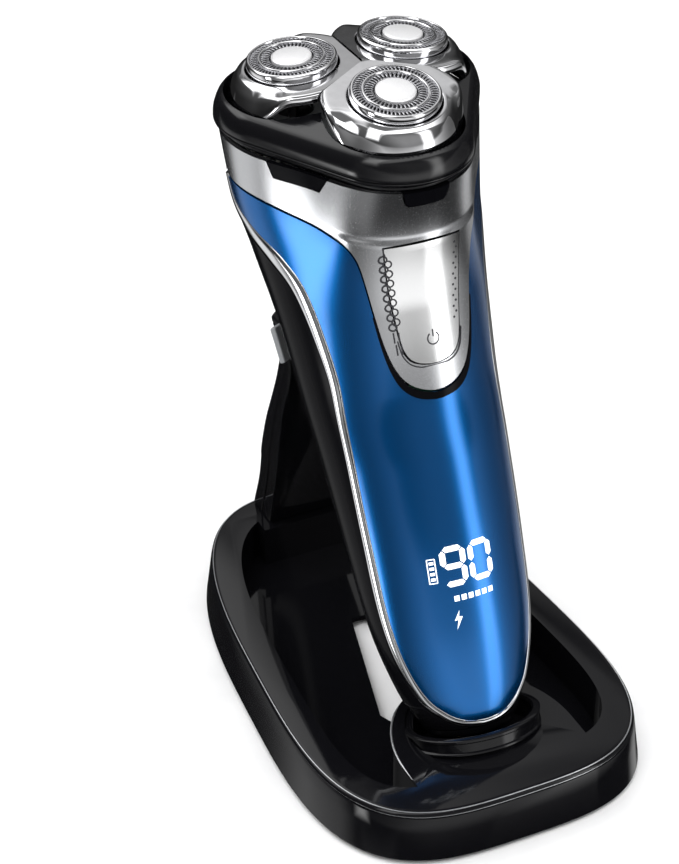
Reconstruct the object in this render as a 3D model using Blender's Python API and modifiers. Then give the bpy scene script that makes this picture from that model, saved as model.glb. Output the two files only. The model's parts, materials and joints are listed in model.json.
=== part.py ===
"""Three-head electric shaver resting in a charging stand.

World frame: +Z up, the shaver faces -Y, the origin is the centre of the stand's footprint on the table.
All sizes below are millimetres; every mesh is scaled to metres when it is made.
"""

import math

import bmesh
import bpy
from mathutils import Matrix, Vector

MM = 0.001

# Stand -------------------------------------------------------------------------------------------
BASE_HALF_LENGTH = 65.6
BASE_HALF_WIDTH = 39.7
BASE_TAPER = 0.144  # the front is this much wider, and the rear this much narrower, than the middle
BASE_TOP = 14.2
BASE_BOTTOM = 1.2
BASE_FLARE = 1.4  # how far the wall's foot stands out past its top edge
BASE_WALL = 2.0
RING_CENTRE_Y = 1.2
RING_HALF_LENGTH = 56.5
RING_HALF_WIDTH = 31.6
DECK_HALF_WIDTH = 22.2  # the tongue that carries the socket
DECK_CENTRE_Y = -47.0
DECK_REACH = 26.0
TOWER_FOOT_HALF_WIDTH = 13.5
TOWER_FOOT_FRONT_Y = 51.0
PLATE_BOTTOM, PLATE_TOP = 1.6, 3.0
INLET_HEIGHT = 7.8
FOOT_RADIUS, FOOT_TOP = 4.5, 1.3
FOOT_PLACES = {
    "front_left": (-27, -50), "front_right": (27, -50), "rear_left": (-20, 50), "rear_right": (20, 50),
}

# Shaver ------------------------------------------------------------------------------------------
LEAN = math.radians(21)  # the shaver leans back this much
SHAVER_FOOT = (-36.0, 10.0)  # world Y and Z of the shaver axis at station 0
# station along the axis, front depth, back depth, half width, triangularity of the section
STATIONS = [
    (2, -11.5, 6.5, 10.8, 0.00), (7, -13.3, 8.2, 13.2, 0.00), (13, -14.0, 9.6, 16.2, 0.00),
    (31, -14.8, 13.2, 20.2, 0.02), (45, -14.9, 16.0, 21.3, 0.03), (70, -13.6, 21.0, 22.9, 0.04),
    (87, -11.9, 24.0, 24.2, 0.05), (106, -12.8, 26.6, 25.9, 0.07), (122, -16.5, 30.3, 28.0, 0.10),
    (136, -23.4, 31.8, 30.2, 0.14), (156, -36.0, 32.0, 31.2, 0.16),
]
BODY_TOP = 143.0  # the shaver body ends at this level plane
SKIN = 1.3
SEAM = 0.35  # gap between neighbouring skins
# Edge of the blue front, as station and angle round from the front, from its tip to the horn's tip.
FRONT_EDGE = [
    (6.2, 4), (6.8, 20), (8.2, 34), (10.5, 44), (14, 53), (20, 60), (28, 64), (40, 66), (57, 65),
    (80, 61), (90, 59), (102, 63), (113, 70), (120, 81), (128, 99), (134, 109), (139.5, 113),
]
TRIM_EDGE = [
    (4.9, 4), (5.4, 22), (6.8, 38), (9.2, 50), (12.8, 60), (19, 68), (28, 73), (40, 74.5), (57, 72),
    (80, 67.5), (90, 66), (102, 71), (113, 79), (120, 91), (128, 108), (134, 116), (140.5, 118),
]
# Lower edge of the silver neck, from the bottom of its U to the horn's tip.
NECK_EDGE = [
    (86.3, 2), (87.0, 8), (88.4, 14), (90.8, 19), (95, 23), (100, 25.5), (106, 27.3), (112, 29), (118, 31.5),
    (122, 36), (126.5, 50), (131.4, 75), (135.8, 95), (139.5, 111),
]
BUTTON_EDGE = [(93.2, 2), (93.8, 8), (95.2, 12.5), (97.5, 15), (103, 16.6), (112, 18), (122.3, 18.6)]

# Shaving unit ------------------------------------------------------------------------------------
HEAD_CENTRE = (0.0, 24.2)
DISC_RING = 15.65  # from the head's centre to each disc's centre
DISC_ANGLES = {"front": -90.0, "right": 30.0, "left": 150.0}
RIM_RADIUS = 18.4
HEAD_BOTTOM, HEAD_TOP = 144.2, 151.3
WELL_RADIUS = 16.0
PETAL_GAP = 0.3  # half the width of the seam between two petals
PETAL_TOP = 157.7
PETAL_TILT = {"front": 8.0, "right": 5.0, "left": 5.0}  # each cutting unit's lean outwards, in degrees
TILT_PIVOT = 154.0
SKIRT_REACH = (58, 96)  # degrees either side of outwards over which the skirt runs up into the plate
SKIRT_PROFILE = [
    (10.8, -0.7), (10.8, 0), (11.4, 0), (12.6, -0.7), (13.9, -2.6), (14.9, -5.0), (15.5, -6.9), (15.5, -8.2),
    (14.4, -8.2), (13.0, -4.4),
]
PLATE_PROFILE = [
    (10.8, -0.7), (10.8, 0), (11.4, 0), (13.0, 0), (15.7, 0), (16.3, -0.4), (16.5, -1.2), (16.3, -2.3),
    (14.0, -2.3), (12.0, -1.6),
]
CAP_RADIUS, CAP_TOP = 10.5, 160.0
CAP_PROFILE = [
    (5.0, 159.0), (5.0, 159.8), (6.2, CAP_TOP), (7.4, CAP_TOP), (7.7, 159.5), (8.0, CAP_TOP), (9.4, CAP_TOP),
    (CAP_RADIUS, 158.8), (CAP_RADIUS, 156.9), (9.7, 156.9), (9.4, 159.0),
]
TRIM_DISC_PROFILE = [(0, 159.2), (0, 160.3), (4.0, 160.3), (4.3, 160.5), (4.7, 160.2), (4.7, 159.2)]
HINGE_Y, HINGE_Z = 48.6, 145.2
GEAR_BOTTOM, GEAR_TOP = 139.6, 141.3
GEAR_TEETH, PINION_TEETH = 28, 7
GEAR_MODULE = 2 * DISC_RING / (GEAR_TEETH + PINION_TEETH)

TILT = Matrix.Translation(Vector((0, SHAVER_FOOT[0], SHAVER_FOOT[1])) * MM) @ Matrix.Rotation(-LEAN, 4, "X")

# Socket and tower of the stand
SOCKET_DEPTH = -4.2  # the socket's centre, in front of the shaver's axis
COLLAR = (16.0, 14.0)  # half width and half depth
COLLAR_TOP = 4.6
PEDESTAL = (13.6, 11.6)
TOWER_LEVELS = [
    (14.5, 11, 53.4, 64, 53.5, 63.5), (30, 13.5, 45, 54.5, 49.5, 59), (48, 17, 34.5, 44.3, 43.5, 53.5),
    (60, 18.8, 29, 37.5, 38.5, 48), (70, 20, 24.4, 31.5, 34, 43), (80, 21.0, 19.5, 26, 30.2, 39.5),
    (87, 21.5, 17.4, 23.2, 27.2, 37.0), (93, 22.0, 16.8, 21.8, 26, 35.0), (95.5, 22.3, 17.0, 22.0, 26, 34.6),
]
TOWER_WALL = 1.6
TOWER_CURVE = 2.2  # how sharply the section turns into its wings
SADDLE_CLEARANCE = 2.2  # from the shaver's back to the tower, filled by the pad

# Finger tabs, as directions from the middle of the shaving unit
TAB_ANGLES = {"left": 210.0, "right": 330.0}


# Scene and materials -----------------------------------------------------------------------------
def clear_scene():
    for obj in list(bpy.data.objects):
        bpy.data.objects.remove(obj, do_unlink=True)


def new_collection(name):
    collection = bpy.data.collections.new(name)
    bpy.context.scene.collection.children.link(collection)
    return collection


def new_material(name, colour, roughness, metallic=0.0):
    material = bpy.data.materials.new(name)
    material.use_nodes = True
    shader = material.node_tree.nodes["Principled BSDF"]
    shader.inputs["Base Color"].default_value = (*colour, 1)
    shader.inputs["Roughness"].default_value = roughness
    shader.inputs["Metallic"].default_value = metallic
    material.diffuse_color = (*colour, 1)
    return material


def place(name, mesh, material=None, matrix=None):
    """A named object of the shaver; one without a material is a cutter."""
    obj = bpy.data.objects.new(name, mesh)
    mesh.transform(Matrix.Scale(MM, 4))
    if matrix is not None:
        obj.matrix_world = matrix
    if material is None:
        cutters.objects.link(obj)
        obj.hide_render = True
        obj.display_type = "WIRE"
    else:
        parts.objects.link(obj)
        mesh.materials.append(material)
        mesh.shade_smooth()
        mesh.set_sharp_from_angle(angle=math.radians(35))
    return obj


def mesh_of(name, build):
    """A mesh made by build(bm), with its faces turned outwards."""
    bm = bmesh.new()
    build(bm)
    bmesh.ops.recalc_face_normals(bm, faces=bm.faces)
    mesh = bpy.data.meshes.new(name)
    bm.to_mesh(mesh)
    bm.free()
    return mesh


# Shapes ------------------------------------------------------------------------------------------
def loft(name, loops, material=None, matrix=None):
    """A solid through closed loops of points, flat at both ends."""

    def build(bm):
        rings = [[bm.verts.new(point) for point in loop] for loop in loops]
        count = len(rings[0])
        for low, high in zip(rings, rings[1:]):
            for i in range(count):
                j = (i + 1) % count
                bm.faces.new((low[i], low[j], high[j], high[i]))
        bm.faces.new(rings[0])
        bm.faces.new(rings[-1])

    return place(name, mesh_of(name, build), material, matrix)


def prism(name, outline, low, high, material=None, matrix=None):
    """A flat outline raised from low to high: a filled 2D curve, made a mesh and welded."""
    curve = bpy.data.curves.new(name, "CURVE")
    curve.dimensions = "2D"
    curve.fill_mode = "BOTH"
    curve.extrude = (high - low) / 2
    spline = curve.splines.new("POLY")
    spline.points.add(len(outline) - 1)
    for point, (x, y) in zip(spline.points, outline):
        point.co = (x, y, 0, 1)
    spline.use_cyclic_u = True
    guide = bpy.data.objects.new(name, curve)
    bpy.context.scene.collection.objects.link(guide)
    graph = bpy.context.evaluated_depsgraph_get()
    flat = bpy.data.meshes.new_from_object(guide.evaluated_get(graph))
    bpy.data.objects.remove(guide)

    def build(bm):
        bm.from_mesh(flat)
        bmesh.ops.remove_doubles(bm, verts=bm.verts, dist=0.0001)
        bmesh.ops.translate(bm, verts=bm.verts, vec=(0, 0, (low + high) / 2))

    mesh = mesh_of(name, build)
    bpy.data.meshes.remove(flat)
    return place(name, mesh, material, matrix)


def box(name, centre, size, material=None, matrix=None):
    def build(bm):
        bmesh.ops.create_cube(bm, size=1)
        bmesh.ops.scale(bm, verts=bm.verts, vec=size)
        bmesh.ops.translate(bm, verts=bm.verts, vec=centre)

    return place(name, mesh_of(name, build), material, matrix)


def cylinder(name, centre, radius, low, high, material=None, matrix=None, sides=32):
    def build(bm):
        bmesh.ops.create_cone(bm, cap_ends=True, segments=sides, radius1=radius, radius2=radius,
                              depth=high - low)
        bmesh.ops.translate(bm, verts=bm.verts, vec=(*centre, (low + high) / 2))

    return place(name, mesh_of(name, build), material, matrix)


def turned(name, profile, centre, material=None, sides=40):
    """A closed profile of (radius, height) points, turned about a vertical axis."""
    mesh = bpy.data.meshes.new(name)
    points = [(radius, 0, height) for radius, height in profile]
    count = len(points)
    mesh.from_pydata(points, [(i, (i + 1) % count) for i in range(count)], [])
    obj = place(name, mesh, material, Matrix.Translation(Vector((*centre, 0)) * MM))
    screw = obj.modifiers.new("turn", "SCREW")
    screw.steps = screw.render_steps = sides
    screw.use_merge_vertices = True
    screw.merge_threshold = 0.00001
    screw.use_smooth_shade = True
    return obj


def boolean(obj, operation, *others):
    for other in others:
        modifier = obj.modifiers.new(other.name, "BOOLEAN")
        modifier.operation = operation
        modifier.solver = "EXACT"
        modifier.object = other
    return obj


def cut(obj, *others):
    return boolean(obj, "DIFFERENCE", *others)


def join(obj, *others):
    return boolean(obj, "UNION", *others)


# Outlines ----------------------------------------------------------------------------------------
def circle(centre, radius, sides=32):
    turns = [2 * math.pi * i / sides for i in range(sides)]
    return [(centre[0] + radius * math.cos(a), centre[1] + radius * math.sin(a)) for a in turns]


def squared_oval(centre_y, half_length, half_width, power_front, power_rear, sides=48):
    """The stand's outline: an oval with square shoulders that widens towards the front."""
    outline = []
    for i in range(sides):
        angle = 2 * math.pi * i / sides
        power = power_rear if math.sin(angle) > 0 else power_front
        across = math.copysign(abs(math.cos(angle)) ** (2 / power), math.cos(angle))
        along = math.copysign(abs(math.sin(angle)) ** (2 / power), math.sin(angle))
        outline.append((half_width * (1 - BASE_TAPER * along) * across, centre_y + half_length * along))
    return outline


def base_outline(grow):
    return squared_oval(0, BASE_HALF_LENGTH + grow, BASE_HALF_WIDTH + grow, 3.3, 3.0)


def ring_outline(grow):
    return squared_oval(RING_CENTRE_Y, RING_HALF_LENGTH + grow, RING_HALF_WIDTH + grow, 4.5, 3.0)


def deck_outline(grow):
    """The tongue's rounded end, with straight sides that run out under the front land."""
    turns = [math.pi * i / 24 for i in range(25)]
    end = [
        ((DECK_HALF_WIDTH + grow) * math.cos(a), DECK_CENTRE_Y + (DECK_REACH + grow) * math.sin(a))
        for a in turns
    ]
    front = -BASE_HALF_LENGTH - 5
    return end + [(-DECK_HALF_WIDTH - grow, front), (DECK_HALF_WIDTH + grow, front)]


def disc_centre(side, distance=DISC_RING):
    angle = math.radians(DISC_ANGLES[side])
    return (HEAD_CENTRE[0] + distance * math.cos(angle), HEAD_CENTRE[1] + distance * math.sin(angle))


def head_outline(radius, arc_steps=9):
    """The rounded triangle that a belt of this radius makes round the three discs."""
    outline = []
    for side, angle in DISC_ANGLES.items():
        x, y = disc_centre(side)
        for i in range(arc_steps + 1):
            turn = math.radians(angle - 60 + 120 * i / arc_steps)
            outline.append((x + radius * math.cos(turn), y + radius * math.sin(turn)))
    return outline


def gear_outline(teeth, phase, tooth_share=0.42):
    """Straight-sided teeth, thinner than their gaps so that the pair runs with backlash."""
    pitch_radius = GEAR_MODULE * teeth / 2
    tip, root = pitch_radius + 0.85 * GEAR_MODULE, pitch_radius - 1.1 * GEAR_MODULE
    pitch = 2 * math.pi / teeth
    outline = []
    for i in range(teeth):
        middle = math.radians(phase) + i * pitch
        for radius, offset in ((root, -0.62), (tip, -0.28), (tip, 0.28), (root, 0.62)):
            angle = middle + offset * tooth_share * pitch
            outline.append((radius * math.cos(angle), radius * math.sin(angle)))
    return outline


# The shaver's skin -------------------------------------------------------------------------------
def interpolate(table, column, at):
    """A smooth monotone curve through one column of a table that is sorted by its first column."""
    if at <= table[0][0]:
        return table[0][column]
    if at >= table[-1][0]:
        return table[-1][column]
    slopes = [(b[column] - a[column]) / (b[0] - a[0]) for a, b in zip(table, table[1:])]

    def tangent(i):
        if i == 0 or i == len(table) - 1:
            return slopes[min(i, len(slopes) - 1)]
        before, after = slopes[i - 1], slopes[i]
        return 0.0 if before * after <= 0 else 2 * before * after / (before + after)

    i = max(k for k in range(len(table) - 1) if table[k][0] <= at)
    step = table[i + 1][0] - table[i][0]
    t = (at - table[i][0]) / step
    return (
        (2 * t**3 - 3 * t**2 + 1) * table[i][column]
        + (t**3 - 2 * t**2 + t) * step * tangent(i)
        + (3 * t**2 - 2 * t**3) * table[i + 1][column]
        + (t**3 - t**2) * step * tangent(i + 1)
    )


def widest_of(triangularity):
    turns = [math.pi * i / 90 for i in range(91)]
    return max((1 + triangularity * math.cos(3 * a)) * math.sin(a) for a in turns)


def skin_point(station, angle, depth=0.0):
    """A point of the shaver's skin, pushed inwards by depth. Angle 0 is the front, 180 the back."""
    front, back, half_width, triangularity = (interpolate(STATIONS, k, station) for k in (1, 2, 3, 4))
    front, back, half_width = front + depth, back - depth, half_width - depth
    turn = math.radians(angle)
    radius = 1 + triangularity * math.cos(3 * turn)
    across = half_width * radius * math.sin(turn) / widest_of(triangularity)
    share = (1 + triangularity - radius * math.cos(turn)) / 2
    return Vector((across, front + share * (back - front), station))


def to_world(point):
    """A point given as across, depth and station, in world millimetres."""
    across, depth, station = point
    return Vector(
        (
            across,
            SHAVER_FOOT[0] + math.sin(LEAN) * station + math.cos(LEAN) * depth,
            SHAVER_FOOT[1] + math.cos(LEAN) * station - math.sin(LEAN) * depth,
        )
    )


def edge_angle(edge, station):
    return interpolate(edge, 1, station)


def skin(name, rows, material=None, thickness=SKIN, offset=-1.0, top=BODY_TOP):
    """A half skin through rows of points that start at or near the middle plane, mirrored and thickened."""

    def build(bm):
        grid = [[bm.verts.new(to_world(point)) for point in row] for row in rows]
        for low, high in zip(grid, grid[1:]):
            for i in range(len(low) - 1):
                bm.faces.new((low[i], low[i + 1], high[i + 1], high[i]))
        geometry = bm.verts[:] + bm.edges[:] + bm.faces[:]
        bmesh.ops.bisect_plane(bm, geom=geometry, plane_co=(0, 0, top), plane_no=(0, 0, 1), clear_outer=True)

    bm = bmesh.new()
    build(bm)
    mesh = bpy.data.meshes.new(name)
    bm.to_mesh(mesh)
    bm.free()
    obj = place(name, mesh, material)
    mirror = obj.modifiers.new("mirror", "MIRROR")
    mirror.merge_threshold = 0.00005
    solidify = obj.modifiers.new("thickness", "SOLIDIFY")
    solidify.thickness = thickness * MM
    solidify.offset = offset
    return obj


def rows_between(stations, inner, outer, columns, depth=0.0):
    """Rows of skin points, each from the inner angle to the outer angle at its station."""
    rows = []
    for station in stations:
        low, high = inner(station), outer(station)
        angles = [low + (high - low) * i / columns for i in range(columns + 1)]
        rows.append([skin_point(station, angle, depth) for angle in angles])
    return rows


def stations_between(low, high, count):
    return [low + (high - low) * i / count for i in range(count + 1)]


def degrees_for(gap, station):
    """The angle that a gap along the skin takes at a station."""
    return math.degrees(gap / interpolate(STATIONS, 3, station))


# Stand parts -------------------------------------------------------------------------------------
def level(outline, height):
    return [(x, y, height) for x, y in outline]


def tilted_oval(half_width, half_depth, centre_depth, station, sides=32):
    """A loop round the shaver's axis, square to it, used by the socket."""
    turns = [2 * math.pi * i / sides for i in range(sides)]
    return [
        to_world((half_width * math.cos(a), centre_depth + half_depth * math.sin(a), station)) for a in turns
    ]


def make_base_shell(material):
    foot = base_outline(BASE_FLARE)
    top = base_outline(0)
    edge = base_outline(-0.9)
    shell = loft(
        "base_shell",
        [level(foot, BASE_BOTTOM), level(top, BASE_TOP - 0.9), level(edge, BASE_TOP)],
        material,
    )
    tray = prism("tray_cutter", ring_outline(0), -5, 30)
    foot_width = 2 * TOWER_FOOT_HALF_WIDTH
    tower_foot = box("tower_foot_keep", (0, TOWER_FOOT_FRONT_Y + 20, 10), (foot_width, 40, 60))
    cut(tray, prism("deck_keep", deck_outline(0), -20, 40), tower_foot)
    belly = prism("belly_cutter", base_outline(-BASE_WALL), -5, PLATE_TOP + 0.3)
    hollow = prism("hollow_cutter", base_outline(-BASE_WALL), PLATE_TOP, BASE_TOP - BASE_WALL)
    walls = prism("tray_wall_keep", ring_outline(BASE_WALL), -6, 31)
    inner_foot = box(
        "tower_foot_hollow", (0, TOWER_FOOT_FRONT_Y + BASE_WALL + 20, 10), (foot_width - 4, 40, 70)
    )
    cut(walls, prism("deck_hollow", deck_outline(-BASE_WALL), -21, 41), inner_foot)
    cut(hollow, walls)
    collar_bore = loft(
        "collar_bore",
        [tilted_oval(COLLAR[0] + 0.4, COLLAR[1] + 0.4, SOCKET_DEPTH, s) for s in (0.1, 14)],
    )
    pedestal_bore = loft(
        "pedestal_bore",
        [tilted_oval(PEDESTAL[0] + 0.3, PEDESTAL[1] + 0.3, SOCKET_DEPTH, s) for s in (-9, 13)],
    )
    inlet = cylinder("inlet_bore", (0, 0), 3.2, 58, 75, matrix=lying_along_y(INLET_HEIGHT))
    return cut(shell, tray, belly, hollow, collar_bore, pedestal_bore, inlet)


def lying_along_y(height):
    """Turns a shape built along Z to run along Y at this height."""
    return Matrix.Translation(Vector((0, 0, height)) * MM) @ Matrix.Rotation(-math.pi / 2, 4, "X")


def make_base_plate(material):
    plate = prism("base_plate", base_outline(-BASE_WALL - 0.3), PLATE_BOTTOM, PLATE_TOP, material)
    window = [(-3, 21), (-13, -16), (-11, -20.5), (11, -20.5), (13, -16), (3, 21)]
    return cut(plate, prism("window_cutter", window, -3, 9))


def make_feet(material):
    for name, centre in FOOT_PLACES.items():
        cylinder(f"foot_{name}", centre, FOOT_RADIUS, 0, FOOT_TOP, material, sides=24)


def make_inlet(material):
    body = cylinder("power_inlet", (0, 0), 3.8, 54, 63, material, lying_along_y(INLET_HEIGHT), sides=24)
    socket = cylinder("inlet_socket", (0, 0), 2.4, 57, 70, matrix=lying_along_y(INLET_HEIGHT), sides=24)
    return cut(body, socket)


# Tower: level, half width, wing front, wing rear, centre front, centre rear


def tower_level(height):
    return [interpolate(TOWER_LEVELS, k, height) for k in (1, 2, 3, 4, 5)]


def back_of_shaver(across, height):
    """World Y just clear of the shaver's back at this place, or None beside the shaver."""
    before = None
    for angle in range(180, 80, -5):
        station, depth = height, 20.0
        for _ in range(6):
            station = (height - SHAVER_FOOT[1] + math.sin(LEAN) * depth) / math.cos(LEAN)
            depth = skin_point(station, angle, -SADDLE_CLEARANCE).y
        at = to_world(skin_point(station, angle, -SADDLE_CLEARANCE))
        if before is not None and at.x >= across:
            share = (across - before.x) / (at.x - before.x)
            return before.y + share * (at.y - before.y)
        before = at
    return None


def tower_curve(height, which, inset=0.0, columns=12):
    """Points across the tower at one level: 0 is the front face, 1 the rear, 0.5 the seam between."""
    half_width, wing_front, wing_rear, centre_front, centre_rear = tower_level(height)
    points = []
    for i in range(columns + 1):
        across = 2 * i / columns - 1
        bend = abs(across) ** TOWER_CURVE
        front = centre_front - (centre_front - wing_front) * bend
        rear = centre_rear - (centre_rear - wing_rear) * bend
        back = back_of_shaver(abs(across) * half_width, height)
        if back is not None:
            front = max(front, back)
        rear = max(rear, front + 3.2 * TOWER_WALL)
        front, rear = front + (inset if which < 0.5 else 0), rear - (inset if which > 0.5 else 0)
        points.append((across * (half_width - inset), front + which * (rear - front), height))
    return points


def tower_shell(name, face, seam, material):
    """One half of the tower: a channel whose open side meets the other half at the seam."""
    loops = []
    for height in [row[0] for row in TOWER_LEVELS]:
        outer, inner = tower_curve(height, face), tower_curve(height, face, TOWER_WALL)
        edge, inner_edge = tower_curve(height, seam), tower_curve(height, seam, TOWER_WALL)
        step = edge[0][1], edge[-1][1]
        loop = [edge[0]] + outer + [edge[-1], (inner_edge[-1][0], step[1], height)]
        loops.append(loop + inner[::-1] + [(inner_edge[0][0], step[0], height)])
    return loft(name, loops, material)


def make_tower(material):
    tower_shell("tower_front", 0.0, 0.46, material)
    tower_shell("tower_back", 1.0, 0.54, material)
    top = TOWER_LEVELS[-1][0]
    loops = []
    for height in (top + 0.3, top + 1.8):
        front, rear = tower_curve(height, 0.0), tower_curve(height, 1.0)
        loops.append([(x, y, height) for x, y, _ in front + rear[::-1]])
    loft("tower_top", loops, material)


def make_saddle_pad(material):
    """The lining of the tower's yoke, just clear of the shaver's back."""
    rows = rows_between(stations_between(98.5, 106, 3), lambda s: 180, lambda s: 124, 9, depth=-0.4)
    return skin("saddle_pad", rows, material, thickness=1.4, offset=-1.0)


def make_socket(materials):
    outer = [tilted_oval(*COLLAR, SOCKET_DEPTH, s) for s in (0.7, COLLAR_TOP)]
    collar = loft("socket_collar", outer, materials["stand"])
    cut(collar, loft("collar_hollow", [tilted_oval(14.6, 12.6, SOCKET_DEPTH, s) for s in (-3, 12)]))
    post = [tilted_oval(*PEDESTAL, SOCKET_DEPTH, s) for s in (-4.2, 0.2)]
    pedestal = loft("socket_pedestal", post, materials["stand"])
    cut(pedestal, loft("pedestal_hollow", [tilted_oval(12, 10, SOCKET_DEPTH, s) for s in (-9, -1.2)]))
    for side, across in (("left", -4), ("right", 4)):
        at = (across, SOCKET_DEPTH)
        cylinder(f"charge_pin_{side}", at, 0.9, 0.5, 1.6, materials["gold"], TILT, sides=16)


# Shaver body -------------------------------------------------------------------------------------
def make_bottom_cap(material):
    loops = []
    for station, depth in ((2.2, 1.2), (2.9, 0.2), (4.5, 0.0)):
        ring = [skin_point(station, 360 * i / 32, depth) for i in range(32)]
        loops.append([to_world(point) for point in ring])
    cap = loft("bottom_cap", loops, material)
    for side, across in (("left", -4), ("right", 4)):
        bore = cylinder(f"contact_bore_{side}", (across, SOCKET_DEPTH), 1.9, 0, 3.4, matrix=TILT, sides=20)
        cut(cap, bore)
    return cap


def make_contacts(material):
    for side, across in (("left", -4), ("right", 4)):
        cylinder(f"contact_plate_{side}", (across, SOCKET_DEPTH), 1.6, 2.4, 3.1, material, TILT, sides=20)


def make_front_shell(material):
    stations = [6.2, 6.8, 7.8, 9.5, 12, 17, 24, 34, 45, 58, 72, 82, 86.3]
    stations += [87, 88.4, 91, 95, 101, 107, 113, 118, 122, 126.5, 131.4, 135.5, 138.6]
    split = 86.3

    def inner(station):
        return 0 if station <= split else edge_angle(NECK_EDGE, station) + degrees_for(SEAM, station)

    rows = rows_between(stations, inner, lambda s: edge_angle(FRONT_EDGE, s), 7)
    return skin("front_shell", rows, material)


def edge_rows(inner_edge, outer_edge, count, gap):
    """Rows across a band between two edge curves that have the same number of points."""
    rows = []
    last = len(inner_edge) - 1
    numbered_inner = [(i, *point) for i, point in enumerate(inner_edge)]
    numbered_outer = [(i, *point) for i, point in enumerate(outer_edge)]
    for k in range(count + 1):
        at = last * k / count
        inner = [interpolate(numbered_inner, c, at) for c in (1, 2)]
        outer = [interpolate(numbered_outer, c, at) for c in (1, 2)]
        length = math.hypot(outer[0] - inner[0], (outer[1] - inner[1]) * 0.35)
        share = gap / length
        start = [a + (b - a) * share for a, b in zip(inner, outer)]
        row = [skin_point(start[0] + (outer[0] - start[0]) * i / 2, start[1] + (outer[1] - start[1]) * i / 2)
               for i in range(3)]
        rows.append(row)
    return rows


def make_side_trim(material):
    rows = edge_rows(FRONT_EDGE, TRIM_EDGE, 34, SEAM)
    middle = [Vector((0, point.y, point.z)) for point in rows[0]]
    return skin("side_trim", [row[::-1] for row in [middle] + rows][::-1], material)


def make_back_shell(material):
    stations = [5.0, 5.8, 7, 9, 12, 17, 24, 33, 45, 58, 72, 86, 98, 108, 116, 122, 128, 134, 141, 156]

    def inner(station):
        return edge_angle(TRIM_EDGE, station + 0.6) + 1.3 * degrees_for(SEAM, station)

    rows = rows_between(stations, inner, lambda s: 180, 9)
    return skin("back_shell", rows, material, top=BODY_TOP - 0.6)


def make_neck_shell(material):
    stations = [86.9, 87.8, 89.2, 91.5, 95, 100, 106, 112, 118, 122, 126.5, 131.4, 135.8, 139.5,
                144, 150, 156]

    def outer(station):
        return edge_angle(NECK_EDGE, station - 0.6) - degrees_for(SEAM, station)

    neck = skin("neck_shell", rows_between(stations, lambda s: 0, outer, 9), material)
    opening = skin(
        "button_opening",
        rows_between(
            [92.6] + stations_between(93.2, 122.7, 14), lambda s: 0,
            lambda s: button_angle(s + 0.5) + 0.9, 4, 0.3
        ),
        thickness=8,
        offset=0,
    )
    release = box("release_opening", (0, -8, 142), (11.4, 14, 6.4))
    return cut(neck, opening, release, *tab_openings())


def button_angle(station):
    return edge_angle(BUTTON_EDGE, station)


def make_power_button(material):
    stations = [93.2, 93.8, 95.2, 97.5, 101, 106, 111, 116, 120, 122.3]
    rows = rows_between(stations, lambda s: 0, button_angle, 4)
    return skin("power_button", rows, material, thickness=1.8)


# Finger tabs on the collar between the neck and the shaving unit
TAB_HALF_LENGTH, TAB_BOTTOM = 8.5, 139.6


def tab_box(name, side, half_length, reach, bottom, material=None):
    angle = math.radians(TAB_ANGLES[side])
    inner, outer = reach
    middle = DISC_RING / 2 + (inner + outer) / 2
    centre = Matrix.Translation(Vector((*HEAD_CENTRE, 0)) * MM) @ Matrix.Rotation(angle, 4, "Z")
    size = (outer - inner, 2 * half_length, BODY_TOP + 0.9 - bottom)
    return box(name, (middle, 0, (BODY_TOP + 0.9 + bottom) / 2), size, material, centre)


def tab_openings():
    half_length, bottom = TAB_HALF_LENGTH + 0.3, TAB_BOTTOM - 0.3
    return [tab_box(f"tab_opening_{s}", s, half_length, (11, 22), bottom) for s in TAB_ANGLES]


def make_neck_collar(material):
    """The dark collar between neck and shaving unit, open at the rear for the hinge."""
    low = BODY_TOP + 0.3
    collar = prism("neck_collar", head_outline(16.4), low, low + 0.6, material)
    inside = prism("collar_inside", head_outline(14.9), low - 2, low + 3)
    cut(collar, inside, box("collar_rear", (0, 50, low), (60, 12, 8)))
    tabs = [tab_box(f"tab_{s}", s, TAB_HALF_LENGTH, (15.3, 16.9), TAB_BOTTOM) for s in TAB_ANGLES]
    return join(collar, *tabs)


def make_release_button(material):
    low, high = 139.6, 142.6
    outline = [(-5.2, high), (-4.2, low), (4.2, low), (5.2, high)]
    loops = [[(x, y, z) for x, z in outline] for y in (-9.4, -7.2)]
    return loft("release_button", loops, material)


def make_inner_works(materials):
    box("chassis", (0, -5.2, 64), (22, 1.4, 76), materials["grey"], TILT)
    box("circuit_board", (0, -7.0, 58), (18, 1.2, 60), materials["board"], TILT)
    box("display_module", (0, -9.2, 46.5), (15, 2.2, 22), materials["dark"], TILT)
    cylinder("battery_cell", (0, 3.6), 7.0, 28, 78, materials["battery"], TILT, sides=28)
    cylinder("drive_motor", HEAD_CENTRE, 7.4, 116, 137.2, materials["steel"], sides=28)


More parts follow.
